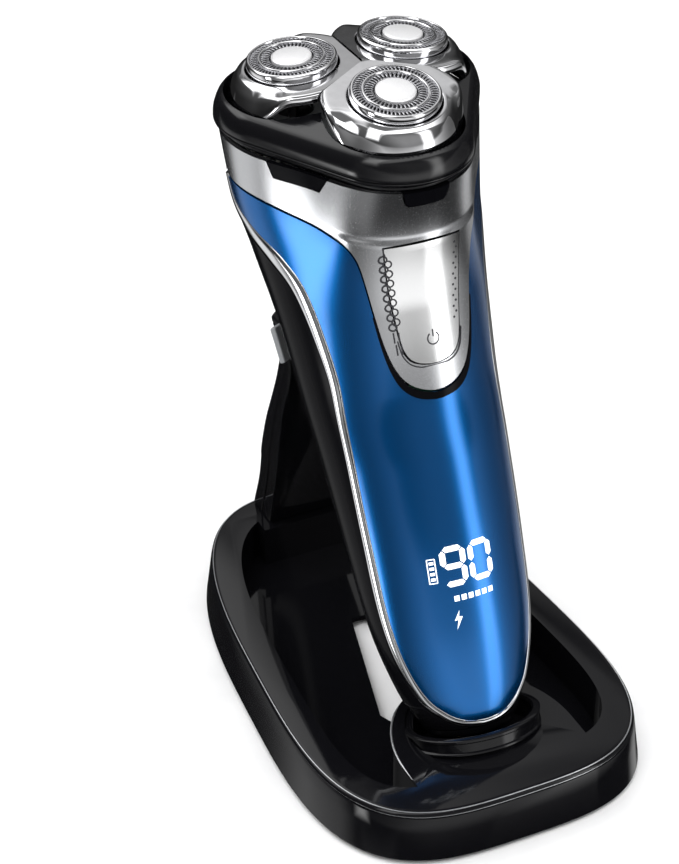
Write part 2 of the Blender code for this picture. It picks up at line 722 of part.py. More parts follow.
def make_drive(materials):
    plate = prism("gear_plate", head_outline(11.5, 8), 137.5, 139.2, materials["grey"])
    cut(plate, cylinder("gear_plate_bore", HEAD_CENTRE, 2.2, 130, 150, sides=20))
    cover = prism("drive_cover", head_outline(14.4, 8), 141.6, BODY_TOP, materials["dark"])
    pinion_phase = DISC_ANGLES["front"]
    pinion = prism("motor_pinion", gear_outline(PINION_TEETH, pinion_phase), GEAR_BOTTOM, GEAR_TOP,
                   materials["brass"], Matrix.Translation(Vector((*HEAD_CENTRE, 0)) * MM))
    join(pinion, cylinder("pinion_shaft", (0, 0), 1.1, 137.7, 140.5, sides=16,
                          matrix=Matrix.Translation(Vector((*HEAD_CENTRE, 0)) * MM)))
    pinion_pitch, gear_pitch = 360 / PINION_TEETH, 360 / GEAR_TEETH
    for side, angle in DISC_ANGLES.items():
        centre = disc_centre(side)
        share = ((angle - pinion_phase) / pinion_pitch) % 1
        phase = angle + 180 + (share - 0.5) * gear_pitch
        gear = prism(f"drive_gear_{side}", gear_outline(GEAR_TEETH, phase), GEAR_BOTTOM, GEAR_TOP,
                     materials["nylon"], Matrix.Translation(Vector((*centre, 0)) * MM))
        cut(gear, cylinder(f"gear_bore_{side}", centre, 1.5, 130, 150, sides=16))
        cylinder(f"spindle_{side}", centre, 1.2, 139.4, 151.2, materials["steel"], sides=6)
        cut(cover, cylinder(f"spindle_hole_{side}", centre, 2.2, 130, 150, sides=20))


# Shaving unit ------------------------------------------------------------------------------------
def make_head_base(material):
    levels = [
        (HEAD_BOTTOM, 16.9), (145.1, 17.5), (145.4, RIM_RADIUS), (146.4, RIM_RADIUS - 0.1), (149.5, 17.6),
        (HEAD_TOP, 16.9),
    ]
    base = loft("head_base", [level(head_outline(r), z) for z, r in levels], material)
    wells = [cylinder(f"well_{s}", disc_centre(s), WELL_RADIUS, 130, 170, sides=36) for s in DISC_ANGLES]
    notch = box("hinge_notch", (0, 50, 145), (9, 16, 6))
    bore = cylinder("hinge_bore", (0, 0), 1.1, -8.8, 8.8, matrix=lying_along_x(), sides=20)
    return cut(base, *wells, notch, bore)


def lying_along_x():
    return Matrix.Translation(Vector((0, HINGE_Y, HINGE_Z)) * MM) @ Matrix.Rotation(math.pi / 2, 4, "Y")


def make_hinge(materials):
    cylinder("hinge_pin", (0, 0), 0.85, -8.4, 8.4, materials["steel"], lying_along_x(), sides=20)
    bracket = cylinder("hinge_bracket", (0, 0), 1.8, -4, 4, materials["dark"], lying_along_x(), sides=24)
    join(bracket, box("hinge_stem", (0, 45.6, 143.9), (8, 6.6, 1.4)))
    return cut(bracket, cylinder("bracket_bore", (0, 0), 1.1, -9, 9, matrix=lying_along_x(), sides=20))


def make_retaining_frame(materials):
    """The plate under the shaving unit that holds the cutters in, with its turning lock."""
    frame = prism("retaining_frame", head_outline(7.0, 8), 145.6, 146.9, materials["grey"])
    for side in DISC_ANGLES:
        cut(frame, cylinder(f"frame_hole_{side}", disc_centre(side), 4.8, 130, 160, sides=20))
    cut(frame, cylinder("lock_hole", HEAD_CENTRE, 2.9, 130, 160, sides=24))
    lock = cylinder("frame_lock", HEAD_CENTRE, 2.5, 144.6, 147.6, materials["nylon"], sides=24)
    return join(lock, box("lock_wing", (*HEAD_CENTRE, 144.9), (7.6, 1.6, 0.8)))


def sector(name, side):
    """The third of the head that one petal fills, short of the seams by the petal gap."""
    apex = disc_centre(side, PETAL_GAP / math.sin(math.radians(60)))
    angle = DISC_ANGLES[side]
    outline = [apex]
    for turn in (-60, 0, 60):
        direction = math.radians(angle + turn)
        outline.append((apex[0] + 60 * math.cos(direction), apex[1] + 60 * math.sin(direction)))
    return prism(name, outline, 120, 180)


def petal_section(turn):
    """A petal's closed section of (radius, height) points, this far round from its outward direction."""
    share = min(1.0, max(0.0, (abs(turn) - SKIRT_REACH[0]) / (SKIRT_REACH[1] - SKIRT_REACH[0])))
    return [
        (skirt[0] + (plate[0] - skirt[0]) * share, PETAL_TOP + skirt[1] + (plate[1] - skirt[1]) * share)
        for skirt, plate in zip(SKIRT_PROFILE, PLATE_PROFILE)
    ]


def tilted(side):
    """The lean of one cutting unit, outwards about a line through its pivot."""
    angle = math.radians(DISC_ANGLES[side])
    pivot = Vector((*disc_centre(side), TILT_PIVOT)) * MM
    turn = Matrix.Rotation(math.radians(PETAL_TILT[side]), 4, (-math.sin(angle), math.cos(angle), 0))
    return Matrix.Translation(pivot) @ turn @ Matrix.Translation(-pivot)


def make_petal(side, material):
    """A flat plate round the cap, dropping into a rounded skirt on its outer side, cut to its sector."""
    centre, outward = disc_centre(side), DISC_ANGLES[side]
    steps = [sign * reach for sign in (-1, 1) for reach in SKIRT_REACH]
    turns = sorted({*range(-180, 180, 12), *steps})

    def build(bm):
        rings = []
        for turn in turns:
            angle = math.radians(outward + turn)
            rings.append([
                bm.verts.new((centre[0] + r * math.cos(angle), centre[1] + r * math.sin(angle), z))
                for r, z in petal_section(turn)
            ])
        count = len(SKIRT_PROFILE)
        for ring, after in zip(rings, rings[1:] + rings[:1]):
            for i in range(count):
                j = (i + 1) % count
                bm.faces.new((ring[i], ring[j], after[j], after[i]))

    petal = place(f"petal_{side}", mesh_of(f"petal_{side}", build), material, tilted(side))
    return boolean(petal, "INTERSECT", sector(f"sector_{side}", side))


def make_cutting_unit(side, materials):
    centre = disc_centre(side)
    make_petal(side, materials["chrome"])
    cap = turned(f"cutter_cap_{side}", CAP_PROFILE, centre, materials["chrome"], sides=24)
    disc = turned(f"trim_disc_{side}", TRIM_DISC_PROFILE, centre, materials["chrome"], sides=24)
    for obj in (cap, disc):
        obj.matrix_world = tilted(side) @ obj.matrix_world
    make_blade(side, centre, materials["steel"])


def make_blade(side, centre, material, arms=9):
    """The rotor under a cap: thin lamellae round a hub that takes the spindle's end."""
    outline = []
    for i in range(arms):
        for radius, share in ((4.2, 0.0), (9.2, 0.2), (9.3, 0.5), (4.2, 0.42)):
            angle = 2 * math.pi * (i + share) / arms
            outline.append((radius * math.cos(angle), radius * math.sin(angle)))
    at = tilted(side) @ Matrix.Translation(Vector((*centre, 0)) * MM)
    blade = prism(f"blade_{side}", outline, 157.6, 158.5, material, at)
    join(blade, cylinder(f"blade_hub_{side}", (0, 0), 3.0, 150.2, 158.0, matrix=at, sides=20))
    return cut(blade, cylinder(f"blade_socket_{side}", (0, 0), 2.0, 140, 153, matrix=at, sides=20))


# Assembly ----------------------------------------------------------------------------------------
def make_materials():
    return {
        "stand": new_material("stand_black", (0.012, 0.012, 0.014), 0.08),
        "blue": new_material("blue_front", (0.01, 0.09, 0.42), 0.18, 0.6),
        "silver": new_material("silver_satin", (0.62, 0.63, 0.65), 0.28, 0.9),
        "trim": new_material("bright_trim", (0.80, 0.81, 0.83), 0.12, 1.0),
        "black": new_material("gloss_black", (0.015, 0.015, 0.017), 0.15),
        "dark": new_material("dark_plastic", (0.04, 0.04, 0.045), 0.4),
        "chrome": new_material("chrome", (0.86, 0.86, 0.88), 0.06, 1.0),
        "steel": new_material("steel", (0.60, 0.60, 0.62), 0.3, 1.0),
        "grey": new_material("grey_plastic", (0.35, 0.36, 0.37), 0.45),
        "pad": new_material("pad_rubber", (0.42, 0.43, 0.44), 0.6),
        "rubber": new_material("foot_rubber", (0.03, 0.03, 0.03), 0.8),
        "gold": new_material("gold_contact", (0.83, 0.62, 0.25), 0.25, 1.0),
        "brass": new_material("brass_gear", (0.72, 0.53, 0.22), 0.35, 1.0),
        "nylon": new_material("nylon_gear", (0.85, 0.84, 0.80), 0.45),
        "board": new_material("circuit_board", (0.02, 0.20, 0.08), 0.5),
        "battery": new_material("battery_wrap", (0.10, 0.32, 0.50), 0.4),
    }


clear_scene()
parts = new_collection("electric_shaver")
cutters = new_collection("cutters")
cutters.hide_render = True
finishes = make_materials()

make_base_shell(finishes["stand"])
make_base_plate(finishes["stand"])
make_feet(finishes["rubber"])
make_inlet(finishes["dark"])
make_tower(finishes["stand"])
make_saddle_pad(finishes["pad"])
make_socket(finishes)

make_bottom_cap(finishes["black"])
make_contacts(finishes["gold"])
make_front_shell(finishes["blue"])
make_side_trim(finishes["trim"])
make_back_shell(finishes["black"])
make_neck_shell(finishes["silver"])
make_power_button(finishes["silver"])
make_neck_collar(finishes["dark"])
make_release_button(finishes["dark"])
make_inner_works(finishes)
make_drive(finishes)

make_head_base(finishes["black"])
make_hinge(finishes)
make_retaining_frame(finishes)
for disc in DISC_ANGLES:
    make_cutting_unit(disc, finishes)
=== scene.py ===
"""Looks of the electric shaver on its charging stand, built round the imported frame.

Shapes are worked out in millimetres in the frame's own axes, and scaled to metres as each mesh is made.
"""

import functools
import json
import math

import bmesh
import bpy
from mathutils import Matrix, Vector


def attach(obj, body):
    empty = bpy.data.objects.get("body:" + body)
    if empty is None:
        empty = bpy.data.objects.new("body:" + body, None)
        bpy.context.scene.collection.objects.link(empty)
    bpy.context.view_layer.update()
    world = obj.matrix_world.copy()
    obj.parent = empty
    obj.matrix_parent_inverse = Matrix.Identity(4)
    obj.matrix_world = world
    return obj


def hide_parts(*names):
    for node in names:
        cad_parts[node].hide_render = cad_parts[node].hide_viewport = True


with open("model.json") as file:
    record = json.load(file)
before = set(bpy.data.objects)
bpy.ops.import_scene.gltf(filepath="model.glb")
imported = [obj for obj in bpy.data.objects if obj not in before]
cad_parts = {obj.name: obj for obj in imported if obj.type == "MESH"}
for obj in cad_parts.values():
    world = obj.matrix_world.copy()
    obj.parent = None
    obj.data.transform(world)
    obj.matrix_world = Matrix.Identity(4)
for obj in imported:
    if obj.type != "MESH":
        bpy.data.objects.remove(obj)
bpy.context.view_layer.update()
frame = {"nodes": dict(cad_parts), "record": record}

MM = 0.001
SIDES = ("front", "left", "right")

# Shaver, as in the frame --------------
LEAN = math.radians(21)
SHAVER_FOOT = (-36.0, 10.0)
# station along the axis, front depth, back depth, half width, triangularity of the section
STATIONS = [
    (2, -11.5, 6.5, 10.8, 0.00), (7, -13.3, 8.2, 13.2, 0.00), (13, -14.0, 9.6, 16.2, 0.00),
    (31, -14.8, 13.2, 20.2, 0.02), (45, -14.9, 16.0, 21.3, 0.03), (70, -13.6, 21.0, 22.9, 0.04),
    (87, -11.9, 24.0, 24.2, 0.05), (106, -12.8, 26.6, 25.9, 0.07), (122, -16.5, 30.3, 28.0, 0.10),
    (136, -23.4, 31.8, 30.2, 0.14), (156, -36.0, 32.0, 31.2, 0.16),
]
BODY_TOP = 143.0
SKIN = 1.3
SEAM = 0.22
# Edges on the skin, as station and degrees round from the front
FRONT_EDGE = [
    (6.2, 4), (6.8, 20), (8.2, 34), (10.5, 44), (14, 53), (20, 60), (28, 64), (40, 66), (57, 65),
    (80, 61), (90, 59), (102, 63), (113, 70), (120, 81), (128, 99), (134, 109), (139.5, 113),
]
TRIM_EDGE = [
    (4.9, 4), (5.4, 22), (6.8, 38), (9.2, 50), (12.8, 60), (19, 68), (28, 73), (40, 74.5), (57, 72),
    (80, 67.5), (90, 66), (102, 71), (113, 79), (120, 91), (128, 108), (134, 116), (140.5, 118),
]
NECK_EDGE = [
    (86.3, 2), (87.0, 8), (88.4, 14), (90.8, 19), (95, 23), (100, 25.5), (106, 27.3), (112, 29), (118, 31.5),
    (122, 36), (126.5, 50), (131.4, 75), (135.8, 95), (139.5, 111),
]
BUTTON_EDGE = [(93.2, 2), (93.8, 8), (95.2, 12.5), (97.5, 15), (103, 16.6), (112, 18), (122.3, 18.6)]
PANEL_RISE = 0.7  # how far the control panel stands proud of the blue front

# Stand --------------------------------
BASE_HALF_LENGTH, BASE_HALF_WIDTH, BASE_TAPER = 65.6, 39.7, 0.144
BASE_TOP, BASE_BOTTOM, BASE_FLARE = 14.2, 1.2, 1.36
RING_CENTRE_Y, RING_HALF_LENGTH, RING_HALF_WIDTH = 1.2, 56.5, 31.6
BASE_SQUARENESS, RING_SQUARENESS = (3.3, 3.0), (4.5, 3.0)  # at the front and at the rear
DECK_HALF_WIDTH, DECK_CENTRE_Y, DECK_REACH = 22.2, -47.0, 26.0
TOWER_FOOT_HALF_WIDTH, TOWER_FOOT_FRONT_Y = 13.5, 51.0
SOCKET_DEPTH, COLLAR, PEDESTAL = -4.2, (16.0, 14.0), (13.6, 11.6)
# height, half width, then front and rear Y at the wings and in the middle
TOWER_LEVELS = [
    (14.5, 11, 53.4, 64, 53.5, 63.5), (30, 13.5, 45, 54.5, 49.5, 59), (48, 17, 34.5, 44.3, 43.5, 53.5),
    (60, 18.8, 29, 37.5, 38.5, 48), (70, 20, 24.4, 31.5, 34, 43), (80, 21.0, 19.5, 26, 30.2, 39.5),
    (87, 21.5, 17.4, 23.2, 27.2, 37.0), (93, 22.0, 16.8, 21.8, 26, 35.0), (95.5, 22.3, 17.0, 22.0, 26, 34.6),
]
PAD_STATIONS, PAD_ANGLE = (93.5, 102.0), 120
TOWER_WALL, TOWER_CURVE, SADDLE_CLEARANCE = 1.6, 2.2, 2.2

# Shaving unit -------------------------
HEAD_CENTRE = (0.0, 24.2)
DISC_RING = 15.65
DISC_ANGLES = {"front": -90.0, "right": 30.0, "left": 150.0}
RIM_RADIUS, WELL_RADIUS, PETAL_GAP = 18.4, 16.0, 0.3
PETAL_TOP = 157.7
PETAL_TILT = {"front": 8.0, "right": 5.0, "left": 5.0}
TILT_PIVOT = 154.0
SKIRT_REACH = (58, 96)  # degrees either side of outwards over which the skirt runs up into the plate
# Sections of a petal outside and inside the skirt, as radius and height above its top
SKIRT_PROFILE = [
    (10.75, -0.7), (10.75, 0), (11.4, 0), (12.6, -0.7), (13.9, -2.6), (14.9, -5.0), (15.5, -6.9),
    (15.5, -8.2), (14.4, -8.2), (13.0, -4.4),
]
PLATE_PROFILE = [
    (10.75, -0.7), (10.75, 0), (11.4, 0), (13.0, 0), (15.7, 0), (16.3, -0.4), (16.5, -1.2), (16.3, -2.3),
    (14.0, -2.3), (12.0, -1.6),
]

# Camera: where it looks, and from where -------------------
CAMERA_AZIMUTH, CAMERA_ELEVATION, CAMERA_ROLL = -25.81, 34.7, 0.41
CAMERA_DISTANCE, CAMERA_TARGET, CAMERA_LENS = 701.5, (7.69, 50.82, 39.18), 113.6


# Materials ----------------------------
def paint(name, colour, roughness, metallic=0.0, coat=0.0, grain=None, scale=400.0, bump=0.02, spread=0.04,
          emission=None, specular=0.5):
    """A Principled material whose roughness, tone and relief are varied by fine noise."""
    material = bpy.data.materials.new(name)
    material.use_nodes = True
    nodes, links = material.node_tree.nodes, material.node_tree.links
    shader = nodes["Principled BSDF"]
    shader.inputs["Metallic"].default_value = metallic
    shader.inputs["Coat Weight"].default_value = coat
    shader.inputs["Coat Roughness"].default_value = 0.04
    shader.inputs["Specular IOR Level"].default_value = specular
    place = nodes.new("ShaderNodeTexCoord")
    noise = nodes.new("ShaderNodeTexNoise")
    noise.inputs["Scale"].default_value = scale
    noise.inputs["Detail"].default_value = 4
    links.new(place.outputs["Object"], noise.inputs["Vector"])
    if grain is not None:
        stretch = nodes.new("ShaderNodeMapping")
        stretch.inputs["Scale"].default_value = grain
        links.new(place.outputs["Object"], stretch.inputs["Vector"])
        links.new(stretch.outputs["Vector"], noise.inputs["Vector"])
    rough = nodes.new("ShaderNodeMapRange")
    rough.inputs["To Min"].default_value = max(0.01, roughness - spread)
    rough.inputs["To Max"].default_value = roughness + spread
    links.new(noise.outputs["Fac"], rough.inputs["Value"])
    links.new(rough.outputs["Result"], shader.inputs["Roughness"])
    tone = nodes.new("ShaderNodeMix")
    tone.data_type = "RGBA"
    tone.inputs["A"].default_value = (*[0.88 * c for c in colour], 1)
    tone.inputs["B"].default_value = (*[min(1, 1.1 * c) for c in colour], 1)
    links.new(noise.outputs["Fac"], tone.inputs["Factor"])
    links.new(tone.outputs["Result"], shader.inputs["Base Color"])
    relief = nodes.new("ShaderNodeBump")
    relief.inputs["Strength"].default_value = bump
    relief.inputs["Distance"].default_value = 0.0001
    links.new(noise.outputs["Fac"], relief.inputs["Height"])
    links.new(relief.outputs["Normal"], shader.inputs["Normal"])
    if emission is not None:
        shader.inputs["Emission Color"].default_value = (*colour, 1)
        shader.inputs["Emission Strength"].default_value = emission
    return material


def make_materials():
    """The finishes of the frame's material slots, and a few more for pieces made here."""
    return {
        "stand_black": paint(
            "piano black", (0.004, 0.004, 0.005), 0.07, spread=0.03, bump=0.01, specular=0.28),
        "foot_rubber": paint("foot rubber", (0.02, 0.02, 0.02), 0.8, scale=1500, bump=0.4),
        "dark_plastic": paint("satin dark plastic", (0.012, 0.012, 0.014), 0.32, scale=2500, bump=0.15),
        "pad_rubber": paint("grey pad", (0.30, 0.31, 0.32), 0.5, scale=1800, bump=0.3),
        "gold_contact": paint("gold plate", (0.83, 0.60, 0.22), 0.2, 1.0),
        "gloss_black": paint("gloss black", (0.004, 0.004, 0.005), 0.12, spread=0.03, specular=0.08),
        "blue_front": paint(
            "blue metallic lacquer", (0.001, 0.135, 0.44), 0.23, 0.9, 0.6, scale=6000, spread=0.03),
        "bright_trim": paint("bright trim", (0.84, 0.85, 0.87), 0.12, 1.0, spread=0.03),
        "silver_satin": paint("satin silver", (0.68, 0.69, 0.71), 0.26, 1.0, scale=5000, bump=0.01),
        "button_silver": paint("bright silver", (0.93, 0.94, 0.95), 0.16, 1.0, scale=5000),
        "grey_plastic": paint("moulded grey", (0.30, 0.31, 0.32), 0.45, scale=2000, bump=0.2),
        "circuit_board": paint("green board", (0.02, 0.18, 0.07), 0.4, scale=900, bump=0.1),
        "display_light": paint("lit segments", (0.93, 0.97, 1.0), 0.3, emission=1.1),
        "battery_wrap": paint("shrink wrap", (0.08, 0.28, 0.46), 0.3, grain=(4, 4, 90), bump=0.1),
        "steel": paint("turned steel", (0.56, 0.56, 0.58), 0.28, 1.0, grain=(90, 90, 900), bump=0.1),
        "brass_gear": paint("cut brass", (0.70, 0.50, 0.20), 0.3, 1.0, scale=900, bump=0.1),
        "head_black": paint("head piano black", (0.005, 0.005, 0.006), 0.13, spread=0.03),
        "nylon_gear": paint("natural nylon", (0.80, 0.79, 0.74), 0.42, scale=1200, bump=0.1),
        "chrome": paint("bright chrome", (0.88, 0.88, 0.90), 0.05, 1.0, spread=0.02, bump=0.01),
        "cap_steel": paint("ground shaving steel", (0.42, 0.42, 0.44), 0.2, 1.0, scale=3000, bump=0.1),
        # Dull black: the own colour of the tabs and the release button, and painted shade under the control
        # panel's edge.
        "dull_black_and_painted_shade": paint("dull black and painted panel shade", (0.003, 0.003, 0.004), 0.14, spread=0.03, specular=0.06),
        # Light metal for the beads that are painted highlights on the stand's black edges.
        "painted_edge_highlight": paint("painted edge highlight", (0.6, 0.61, 0.63), 0.3, 0.9, spread=0.05),
        "hub_silver": paint("spun hub", (0.9, 0.9, 0.91), 0.3, 0.45, scale=4000, bump=0.03),
        # Dark ink for the print on the panel, and painted shade in the discs under the cap slots.
        "dark_print_and_shade": paint("dark print and painted shade", (0.03, 0.03, 0.035), 0.35, scale=2000, bump=0.1),
    }


# Piece makers -------------------------
SMOOTH_BELOW, ROUND_ABOVE = 38, 50  # degrees between faces: shaded smooth, and rounded off
WIDE_ROUNDING = 0.3


def placed(name, mesh):
    """A new object in the scene from a mesh in millimetres."""
    mesh.transform(Matrix.Scale(MM, 4))
    mesh.name = name
    obj = bpy.data.objects.new(name, mesh)
    bpy.context.scene.collection.objects.link(obj)
    return obj


def taken_back(obj):
    """The object's mesh with its modifiers applied, in millimetres again. The object goes."""
    graph = bpy.context.evaluated_depsgraph_get()
    mesh = bpy.data.meshes.new_from_object(obj.evaluated_get(graph))
    bpy.data.objects.remove(obj)
    mesh.transform(Matrix.Scale(1 / MM, 4))
    return mesh


def soften(obj, width):
    """Rounds the sharp edges of a piece, in more steps where the rounding is wide."""
    bevel = obj.modifiers.new("rounding", "BEVEL")
    bevel.width = width * MM
    bevel.segments = 3 if width >= WIDE_ROUNDING else 2
    bevel.limit_method = "ANGLE"
    bevel.angle_limit = math.radians(ROUND_ABOVE)
    bevel.harden_normals = True


def shown(name, mesh, body, slot, replaces=(), finish=None, smooth=SMOOTH_BELOW, rounding=None):
    """Puts a finished mesh in the scene as one piece that rides on a body."""
    obj = placed(name, mesh)
    mesh.materials.append(finishes[finish or slot])
    mesh.shade_smooth()
    mesh.set_sharp_from_angle(angle=math.radians(smooth))
    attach(obj, body)
    if replaces:
        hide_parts(*replaces)
    if rounding:
        soften(obj, rounding)
    return obj


def mesh_from(build, outwards=True):
    bm = bmesh.new()
    build(bm)
    if outwards:
        bmesh.ops.recalc_face_normals(bm, faces=bm.faces)
    mesh = bpy.data.meshes.new("shape")
    bm.to_mesh(mesh)
    bm.free()
    return mesh


def loft_mesh(loops, closed=True):
    """A skin through loops of points, closed by flat ends or else by running back to the first loop."""

    def build(bm):
        rings = [[bm.verts.new(point) for point in loop] for loop in loops]
        count = len(rings[0])
        for low, high in zip(rings, rings[1:] if closed else rings[1:] + rings[:1]):
            for i in range(count):
                j = (i + 1) % count
                bm.faces.new((low[i], low[j], high[j], high[i]))
        if closed:
            bm.faces.new(rings[0])
            bm.faces.new(rings[-1])

    return mesh_from(build)


def combined(mesh, operation, others):
    """The mesh after a Boolean with each of the other meshes."""
    obj = placed("work", mesh)
    tools = [placed("tool", other) for other in others]
    for tool in tools:
        modifier = obj.modifiers.new("boolean", "BOOLEAN")
        modifier.operation = operation
        modifier.solver = "EXACT"
        modifier.object = tool
    result = taken_back(obj)
    for tool in tools:
        bpy.data.objects.remove(tool)
    return result


def box_mesh(centre, size):
    def build(bm):
        bmesh.ops.create_cube(bm, size=1)
        bmesh.ops.scale(bm, verts=bm.verts, vec=size)
        bmesh.ops.translate(bm, verts=bm.verts, vec=centre)

    return mesh_from(build)


def level(outline, height):
    return [(x, y, height) for x, y in outline]


def prism_mesh(outline, low, high):
    return loft_mesh([level(outline, low), level(outline, high)])


def spread_out(low, high, count):
    """This many equal steps from low to high, both ends included."""
    return [low + (high - low) * i / count for i in range(count + 1)]


def full_turn(count):
    """The angles of this many equal steps round a circle."""
    return [2 * math.pi * i / count for i in range(count)]


def polar(centre, radius, turn):
    return (centre[0] + radius * math.cos(turn), centre[1] + radius * math.sin(turn))


def circle(centre, radius, sides):
    return [polar(centre, radius, turn) for turn in full_turn(sides)]


def turned_mesh(profile, centre, sides=96):
    """A closed profile of (radius, height) points, turned about a vertical axis."""
    loops = [[(*polar(centre, r, turn), z) for r, z in profile] for turn in full_turn(sides)]
    return loft_mesh(loops, closed=False)


def rounded(profile, share, steps=3):
    """A closed profile whose corners are short curves, each this share of its sides long."""
    points = []
    count = len(profile)
    for i, (x, y) in enumerate(profile):
        before, after = profile[i - 1], profile[(i + 1) % count]
        start = (x + (before[0] - x) * share, y + (before[1] - y) * share)
        end = (x + (after[0] - x) * share, y + (after[1] - y) * share)
        for k in range(steps + 1):
            t = k / steps
            points.append(tuple((1 - t) ** 2 * a + 2 * t * (1 - t) * b + t * t * c
                                for a, b, c in zip(start, (x, y), end)))
    return points


# The shaver's skin --------------------
def interpolate(table, column, at):
    """A smooth monotone curve through one column of a table that is sorted by its first column."""
    if at <= table[0][0]:
        return table[0][column]
    if at >= table[-1][0]:
        return table[-1][column]
    slopes = [(b[column] - a[column]) / (b[0] - a[0]) for a, b in zip(table, table[1:])]

    def tangent(i):
        if i == 0 or i == len(table) - 1:
            return slopes[min(i, len(slopes) - 1)]
        before, after = slopes[i - 1], slopes[i]
        return 0.0 if before * after <= 0 else 2 * before * after / (before + after)

    i = max(k for k in range(len(table) - 1) if table[k][0] <= at)
    step = table[i + 1][0] - table[i][0]
    t = (at - table[i][0]) / step
    return (
        (2 * t**3 - 3 * t**2 + 1) * table[i][column]
        + (t**3 - 2 * t**2 + t) * step * tangent(i)
        + (3 * t**2 - 2 * t**3) * table[i + 1][column]
        + (t**3 - t**2) * step * tangent(i + 1)
    )


@functools.cache
def widest_of(triangularity):
    return max((1 + triangularity * math.cos(3 * a)) * math.sin(a) for a in spread_out(0, math.pi, 180))


@functools.cache
def section(station):
    return tuple(interpolate(STATIONS, k, station) for k in (1, 2, 3, 4))


def skin_point(station, angle, depth=0.0):
    """A point of the shaver's skin, pushed inwards by depth. Angle 0 is the front, 180 the back."""
    front, back, half_width, triangularity = section(station)
    front, back, half_width = front + depth, back - depth, half_width - depth
    turn = math.radians(angle)
    radius = 1 + triangularity * math.cos(3 * turn)
    across = half_width * radius * math.sin(turn) / widest_of(round(triangularity, 4))
    share = (1 + triangularity - radius * math.cos(turn)) / 2
    return Vector((across, front + share * (back - front), station))


def to_world(point):
    """A point given as across, depth and station, in world millimetres."""
    across, depth, station = point
    return Vector((
        across,
        SHAVER_FOOT[0] + math.sin(LEAN) * station + math.cos(LEAN) * depth,
        SHAVER_FOOT[1] + math.cos(LEAN) * station - math.sin(LEAN) * depth,
    ))


def on_front(across, station, depth):
    """The point of the shaver's front at this distance from the middle, in world millimetres."""
    low, high = -85.0, 85.0
    for _ in range(24):
        middle = (low + high) / 2
        if skin_point(station, middle, depth).x < across:
            low = middle
        else:
            high = middle
    return to_world(skin_point(station, (low + high) / 2, depth))


def degrees_for(gap, station):
    return math.degrees(gap / interpolate(STATIONS, 3, station))


def skin_mesh(rows, thickness, top=BODY_TOP):
    """Rows of skin points from the middle plane outwards, cut level at the top, mirrored and thickened."""

    def build(bm):
        grid = [[bm.verts.new(to_world(point)) for point in row] for row in rows]
        for low, high in zip(grid, grid[1:]):
            for i in range(len(low) - 1):
                bm.faces.new((low[i], low[i + 1], high[i + 1], high[i]))
        whole = bm.verts[:] + bm.edges[:] + bm.faces[:]
        bmesh.ops.bisect_plane(bm, geom=whole, plane_co=(0, 0, top), plane_no=(0, 0, 1), clear_outer=True)

    obj = placed("skin", mesh_from(build, outwards=False))
    mirror = obj.modifiers.new("mirror", "MIRROR")
    mirror.merge_threshold = 0.00002
    solidify = obj.modifiers.new("thickness", "SOLIDIFY")
    solidify.thickness = thickness * MM
    solidify.use_even_offset = True
    return taken_back(obj)


def rows_between(stations, inner, outer, columns, depth=lambda station, angle: 0.0):
    rows = []
    for station in stations:
        angles = spread_out(inner(station), outer(station), columns)
        rows.append([skin_point(station, angle, depth(station, angle)) for angle in angles])
    return rows


def with_middle(rows):
    """The rows, with the first one's points brought to the middle plane before them."""
    return [[Vector((0, point.y, point.z)) for point in rows[0]]] + rows


def edge_angle(edge, station):
    return interpolate(edge, 1, station)


# Stand --------------------------------
def squared_oval(centre_y, half_length, half_width, squareness, sides=192):
    """An outline in plan between an ellipse and a rectangle, narrower towards the rear."""
    outline = []
    for angle in full_turn(sides):
        power = squareness[1] if math.sin(angle) > 0 else squareness[0]
        across = math.copysign(abs(math.cos(angle)) ** (2 / power), math.cos(angle))
        along = math.copysign(abs(math.sin(angle)) ** (2 / power), math.sin(angle))
        outline.append((half_width * (1 - BASE_TAPER * along) * across, centre_y + half_length * along))
    return outline


def base_outline(grow):
    return squared_oval(0, BASE_HALF_LENGTH + grow, BASE_HALF_WIDTH + grow, BASE_SQUARENESS)


def ring_outline():
    return squared_oval(RING_CENTRE_Y, RING_HALF_LENGTH, RING_HALF_WIDTH, RING_SQUARENESS)


def deck_outline():
    end = [(DECK_HALF_WIDTH * math.cos(turn), DECK_CENTRE_Y + DECK_REACH * math.sin(turn))
           for turn in spread_out(0, math.pi, 48)]
    front = -BASE_HALF_LENGTH - 5
    return end + [(-DECK_HALF_WIDTH, front), (DECK_HALF_WIDTH, front)]


def tilted_oval(sizes, grow, station, sides=96):
    """An oval square to the shaver's axis, whose half width and half depth are grown."""
    half_width, half_depth = (size + grow for size in sizes)
    return [to_world((half_width * math.cos(turn), SOCKET_DEPTH + half_depth * math.sin(turn), station))
            for turn in full_turn(sides)]


def stand_piece(name, mesh, replaces=(), **look):
    shown(name, mesh, "stand", "stand_black", replaces, **look)


def make_base():
    """Ring, deck and outer wall in one moulding."""
    profile = [
        (BASE_FLARE, BASE_BOTTOM), (BASE_FLARE - 0.05, 2.2), (0.55, 8.5), (0.12, 12.2), (0.0, 12.55),
        (-0.38, 12.7), (-0.38, 12.95), (-0.02, 13.1), (-0.1, 13.45), (-0.35, 13.8), (-0.75, 14.05),
        (-1.3, BASE_TOP),
    ]
    solid = loft_mesh([level(base_outline(grow), height) for grow, height in profile])
    deck = prism_mesh(deck_outline(), -20, 40)
    foot = box_mesh((0, TOWER_FOOT_FRONT_Y + 20, 10), (2 * TOWER_FOOT_HALF_WIDTH, 40, 60))
    tray = combined(prism_mesh(ring_outline(), 0.5, 30), "DIFFERENCE", [deck, foot])
    bore = loft_mesh([tilted_oval(COLLAR, 0.4, station) for station in (0.1, 14)])
    low_bore = loft_mesh([tilted_oval(PEDESTAL, 0.3, station) for station in (-6, 13)])
    mesh = combined(solid, "DIFFERENCE", [tray, bore, low_bore])
    stand_piece("stand_base", mesh, ["base_shell"], rounding=0.45)
